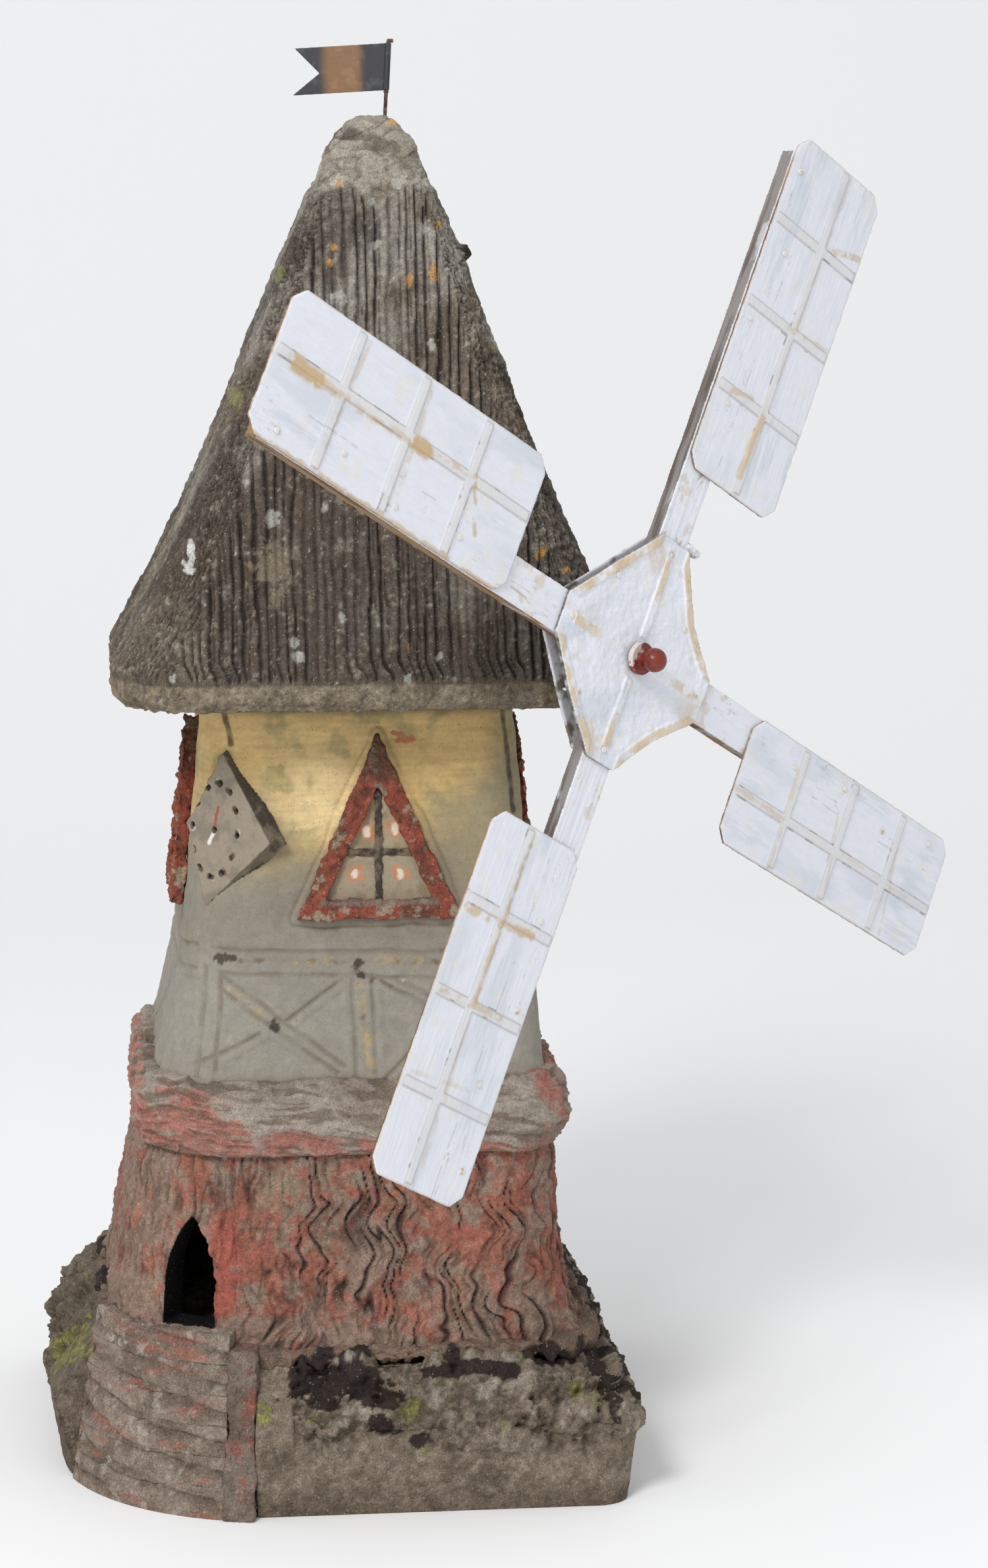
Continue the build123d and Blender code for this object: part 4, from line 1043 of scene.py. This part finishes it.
def painted_sail(index):
    number = index + 1
    nodes = [f"sail_{number}_panel", f"sail_{number}_long_lath", f"sail_{number}_cross_laths"]
    piece, place, normal = dense_copy(
        f"painted_sail_{number}", nodes, 0.9, "sails", smoothing=4)
    local = arm_frame(place, index)
    seed = 200 + 20 * index
    along, aside, _ = local.T
    facing = normal @ AXLE
    front = ramp(facing, 0.3, 0.7)
    skin = fractal(stretched(local, 10, 1, 6), 2.6, seed, octaves=2)
    depth = front * (0.10 * skin + 0.10 * fractal(local, 22, seed + 1))
    end_gap = np.minimum(along - SAIL_START, SAIL_END - along)
    edge_gap = np.minimum(end_gap, np.minimum(aside - SAIL_INNER_EDGE, SAIL_EDGE[index] - aside))
    rim = ramp(edge_gap, 2.5, 0)
    depth -= rim * (0.3 + 0.5 * np.abs(noise(local, 9, seed + 2)))
    moved = place + normal * depth[:, None]
    lath_gap = np.abs(aside - LONG_LATH)
    dashes = fractal(local, 15, seed + 5)
    joint_gap = np.abs(aside - BOARD_JOINT + 0.8 * noise(local, 20, seed + 6))
    joint = ramp(joint_gap, 0.8, 0.1) * ramp(dashes, 0.1, 0.4) * front
    strip = ramp(aside, 18, 15) * front
    crackle = 1 - np.abs(noise(stretched(local, 9, 1, 1), 2.2, seed + 9))
    brush = fractal(stretched(local, 2.5, 1, 1), 26, seed + 10)

    tint = old_white(local, facing, seed + 3, bare=(150, 124, 94), dark=(112, 90, 68))
    for middle in CROSS_LATHS:
        lath_gap = np.minimum(lath_gap, np.abs(along - middle))
    on_lath = ramp(lath_gap + 0.8 * noise(local, 14, seed + 4), 5.5, 3.5) * front
    tint = mix(tint, rgb(212, 209, 206), 0.5 * on_lath)
    # Painted shade: the sloped sides of the laths are darkened.
    slope = ramp(facing, 0.99, 0.85) * ramp(lath_gap, 9, 6) * front
    tint = mix(tint, rgb(172, 171, 172), 0.6 * slope)
    edge = ramp(np.abs(lath_gap - 4.4), 0.9, 0.2) * ramp(dashes, 0.4, 0.7) * front
    tint = mix(tint, CRACK, 0.55 * edge)
    tint = mix(tint, CRACK, 0.35 * joint)
    for start, end, width, strength in STAINS[index]:
        gap = line_gap(along, aside, start, end) + 1.2 * noise(local, 6, seed + 7)
        patch = ramp(gap, width * 1.25, width * 0.5) * front * clouds(local, 11, seed + 8, -0.7, 0.1)
        tint = mix(tint, TAN, np.clip(0.75 * strength * patch, 0, 0.9))
    tint = layered(tint, [
        ((168, 148, 124), 0.5 * strip * ramp(crackle, 0.93, 0.99) * ramp(dashes, 0.0, 0.5)),
        ((160, 134, 100), 0.45 * rim * front),
        ((186, 196, 208), 0.4 * front * ramp(brush, 0.2, 0.9) * ramp(skin, -0.6, 0.5)),
    ])
    write(piece, moved, tint, PAINTED_WOOD, grain=local)


# Bare wood at the sides of each stock: the wood and its dark grain.
STOCK_SIDES = [((132, 126, 124), (94, 84, 78)), ((146, 120, 90), (104, 82, 60))]


def painted_stock(node, number):
    piece, place, normal = dense_copy(f"weathered_{node}", [node], 1.1, "sails")
    local = arm_frame(place, number)
    facing = normal @ AXLE
    seed = 300 + 20 * number
    ridges = fractal(stretched(local, 16, 1, 1), 3.2, seed, octaves=3)
    lumps = fractal(stretched(local, 3, 1, 1), 16, seed + 1)
    moved = place + normal * (0.3 * ridges + 0.3 * lumps - 0.2)[:, None]
    front = ramp(facing, 0.3, 0.7)
    crackle = 1 - np.abs(noise(stretched(local, 9, 1, 1), 2.6, seed + 3))
    patch = clouds(local, 20, seed + 4, -0.1, 0.5)
    tint = old_white(local, facing, seed + 2, bare=STOCK_SIDES[number][0], dark=STOCK_SIDES[number][1])
    tint = mix(tint, rgb(160, 136, 110), 0.6 * front * ramp(crackle, 0.9, 0.98) * patch)
    tint = mix(tint, TAN, 0.4 * front * clouds(local, 13, seed + 5, 0.35, 0.8))
    write(piece, moved, tint, PAINTED_WOOD, grain=local)


def painted_hub():
    nodes = ["hub_plate", "hub_border_strips", "hub_ridge_strips"]
    piece, place, normal = dense_copy("painted_hub", nodes, 0.9, "sails", smoothing=3)
    local = sail_frame(place)
    right, upward, out = local.T
    facing = normal @ AXLE
    front = ramp(facing, 0.3, 0.7)
    reach = np.hypot(right, upward)
    depth = front * (0.7 * fractal(local, 16, 401) + 0.2 * fractal(local, 4, 402))
    moved = place + normal * depth[:, None]
    raised = ramp(out, HUB_FACE, HUB_FACE + 1) * front
    stain = fractal(local, 17, 404)
    crackle = 1 - np.abs(noise(local, 5, 405))
    tint = old_white(local, facing, 403)
    tint = mix(tint, rgb(208, 186, 150), 0.8 * raised * ramp(stain, -0.6, 0.0) * ramp(reach, 40, 62))
    tint = mix(tint, TAN, 0.35 * front * ramp(reach, 55, 80) * ramp(stain, 0.0, 0.5))
    worn = 0.35 * raised * ramp(crackle, 0.9, 0.98) * clouds(local, 14, 406, 0, 0.4)
    tint = mix(tint, rgb(150, 122, 92), worn)
    write(piece, moved, tint, PAINTED_WOOD, grain=local)


def nail_heads():
    for node in ("panel_nails", "hub_nails"):
        piece, place, _ = dense_copy(f"{node}_painted", [node], 0.45, "sails", smoothing=3)
        local = sail_frame(place)
        tint = mix(rgb(222, 219, 212), rgb(196, 172, 138), clouds(local, 5, 431, 0.1, 0.8))
        write(piece, place, tint, PAINTED_WOOD, grain=local)


def red_knob():
    piece, place, normal = dense_copy("red_knob", ["axle_knob"], 0.4, "tower", smoothing=3)
    local = sail_frame(place)
    drips = ramp(local[:, 2], low_out("axle_knob") + 7, low_out("axle_knob") + 4)
    drips = drips * ramp(0.5 * fractal(local, 7, 442) - 0.07 * local[:, 0] + 0.05 * local[:, 1], 0.5, 0.8)
    tint = layered(rgb(120, 44, 31), [
        ((95, 35, 25), clouds(local, 6, 441, -0.3, 0.8)),
        ((214, 208, 200), 0.9 * drips),
    ])
    write(piece, place + normal * (0.15 * fractal(local, 5, 443))[:, None], tint, GLOSS_RED, grain=local)


def low_out(node):
    """Nearest place of a node along the axle, in millimetres from the tower's middle."""
    mesh = frame["nodes"][node].data
    return min(vertex.co.dot(Vector(AXLE)) for vertex in mesh.vertices) / MM


# ---- Flag ----
def swallow_flag():
    piece, place, _ = dense_copy("swallowtail_flag", ["flag_sheet"], 0.45, "flag", smoothing=1)
    hoist = high("flag_sheet")[0] - 3
    fly = low("flag_sheet")[0]
    share = (hoist - place[:, 0]) / (hoist - fly)
    shake = 0.03 * noise(place, 9, 451)
    bronze = ramp(share + shake, 0.24, 0.34) * ramp(share + shake, 0.74, 0.6)
    tint = layered(rgb(50, 50, 53), [
        ((124, 93, 64), bronze),
        ((142, 112, 80), 0.5 * bronze * clouds(place, 9, 452, 0.2, 0.8)),
        ((98, 100, 104), 0.35 * clouds(place, 14, 453, 0.2, 0.8)),
        ((90, 60, 40), 0.6 * spots(place, 9, 0.2, 1.1, 454)),
    ])
    write(piece, place, tint, FLAG_PAINT, grain=place)


# ---- Build everything ----
finish_plain_nodes()
thatch_roof()
roof_top()
plastered_storey()
for wall, seed, rough in (("front", 50, 1.0), ("rear", 54, 1.0), ("left", 58, 1.6), ("right", 62, 1.6)):
    window_surround(f"{wall}_window_frame", seed, rough)
simple_piece("window_bars", "front_window_bars", 0.8, "tower", CEMENT,
             [(66, 58, 52), (118, 104, 86)], (7, 72, -0.2, 0.7), (1.1, 5, 71, -0.6))
clock()
simple_piece("roof_bed_mortar", "mortar_bed", 1.6, "tower", ROCK,
             [(96, 86, 70), (60, 54, 46)], (14, 91, -0.3, 0.6), (0.5, 8, 92, 0))
torn_ledge()
bark_storey()
lumpy_plinth()
worn_stair()
worn_cheek()
tar_seal()
for arm_index in range(4):
    painted_sail(arm_index)
painted_stock("stock_a", 0)
painted_stock("stock_b", 1)
painted_hub()
simple_piece("hub_back_sheet", "hub_back_plate", 0.9, "sails", PAINTED_WOOD,
             [(196, 196, 200), (112, 104, 92)], (16, 412, -0.1, 0.6), (0.3, 14, 411, 0))
simple_piece("painted_peg", "hub_peg", 0.6, "sails", PAINTED_WOOD,
             [(222, 224, 231), (186, 182, 176)], (6, 422, 0, 0.8), (1.4, 6, 421, 0.9), smoothing=4)
nail_heads()
red_knob()
swallow_flag()
simple_piece("rusty_pole", "flag_pole", 0.4, "tower", BARK,
             [(96, 78, 68), (66, 52, 46)], (4, 461, -0.3, 0.6), (0.12, 3, 462, 0))
simple_piece("axle_grout_plug", "axle_grout", 1.2, "tower", ROCK,
             [(150, 142, 130), (112, 104, 92)], (10, 471, -0.3, 0.7), (0.6, 7, 472, 0))


# ---- Floor, light and camera ----
def floor():
    """A pale floor that curves up behind the object."""
    profile = [(-6.0, 0.0), (2.5, 0.0)]
    profile += [(2.5 + 2.0 * math.sin(a), 2.0 - 2.0 * math.cos(a)) for a in np.linspace(0.1, math.pi / 2, 16)]
    profile += [(4.5, 9.0)]
    corners = [(side, y, z) for side in (-9.0, 9.0) for y, z in profile]
    count = len(profile)
    faces = [(i, i + 1, count + i + 1, count + i) for i in range(count - 1)]
    mesh = bpy.data.meshes.new("studio_floor")
    mesh.from_pydata(corners, [], faces)
    mesh.polygons.foreach_set("use_smooth", np.ones(len(faces), bool))
    sheet = bpy.data.objects.new("studio_floor", mesh)
    bpy.context.scene.collection.objects.link(sheet)
    material, _, shader = node_material("pale_floor")
    shader.inputs["Base Color"].default_value = (0.93, 0.93, 0.93, 1)
    shader.inputs["Roughness"].default_value = 0.9
    mesh.materials.append(material)


def area_light(name, place, aim, size, power):
    data = bpy.data.lights.new(name, "AREA")
    data.shape = "DISK"
    data.size = size
    data.energy = power
    lamp = bpy.data.objects.new(name, data)
    lamp.location = place
    lamp.rotation_euler = (Vector(aim) - Vector(place)).to_track_quat("-Z", "Y").to_euler()
    bpy.context.scene.collection.objects.link(lamp)


def light():
    world = bpy.data.worlds.new("studio")
    bpy.context.scene.world = world
    world.use_nodes = True
    world.node_tree.nodes["Background"].inputs["Color"].default_value = (0.97, 0.985, 1.0, 1)
    world.node_tree.nodes["Background"].inputs["Strength"].default_value = 0.75
    area_light("key", (-1.6, -3.2, 3.4), (0, 0, 0.6), 1.4, 115)
    bpy.context.scene.view_settings.view_transform = "Standard"


def camera():
    """Eye height a little above the roof's eave, looking slightly down and from the left."""
    data = bpy.data.cameras.new("camera")
    data.sensor_width = 36
    data.lens = 85.76
    eye = bpy.data.objects.new("camera", data)
    eye.location = (-0.2142, -3.169, 1.0621)
    eye.rotation_euler = (math.radians(81.2), 0, math.radians(-6))
    bpy.context.scene.collection.objects.link(eye)
    bpy.context.scene.camera = eye


floor()
light()
camera()
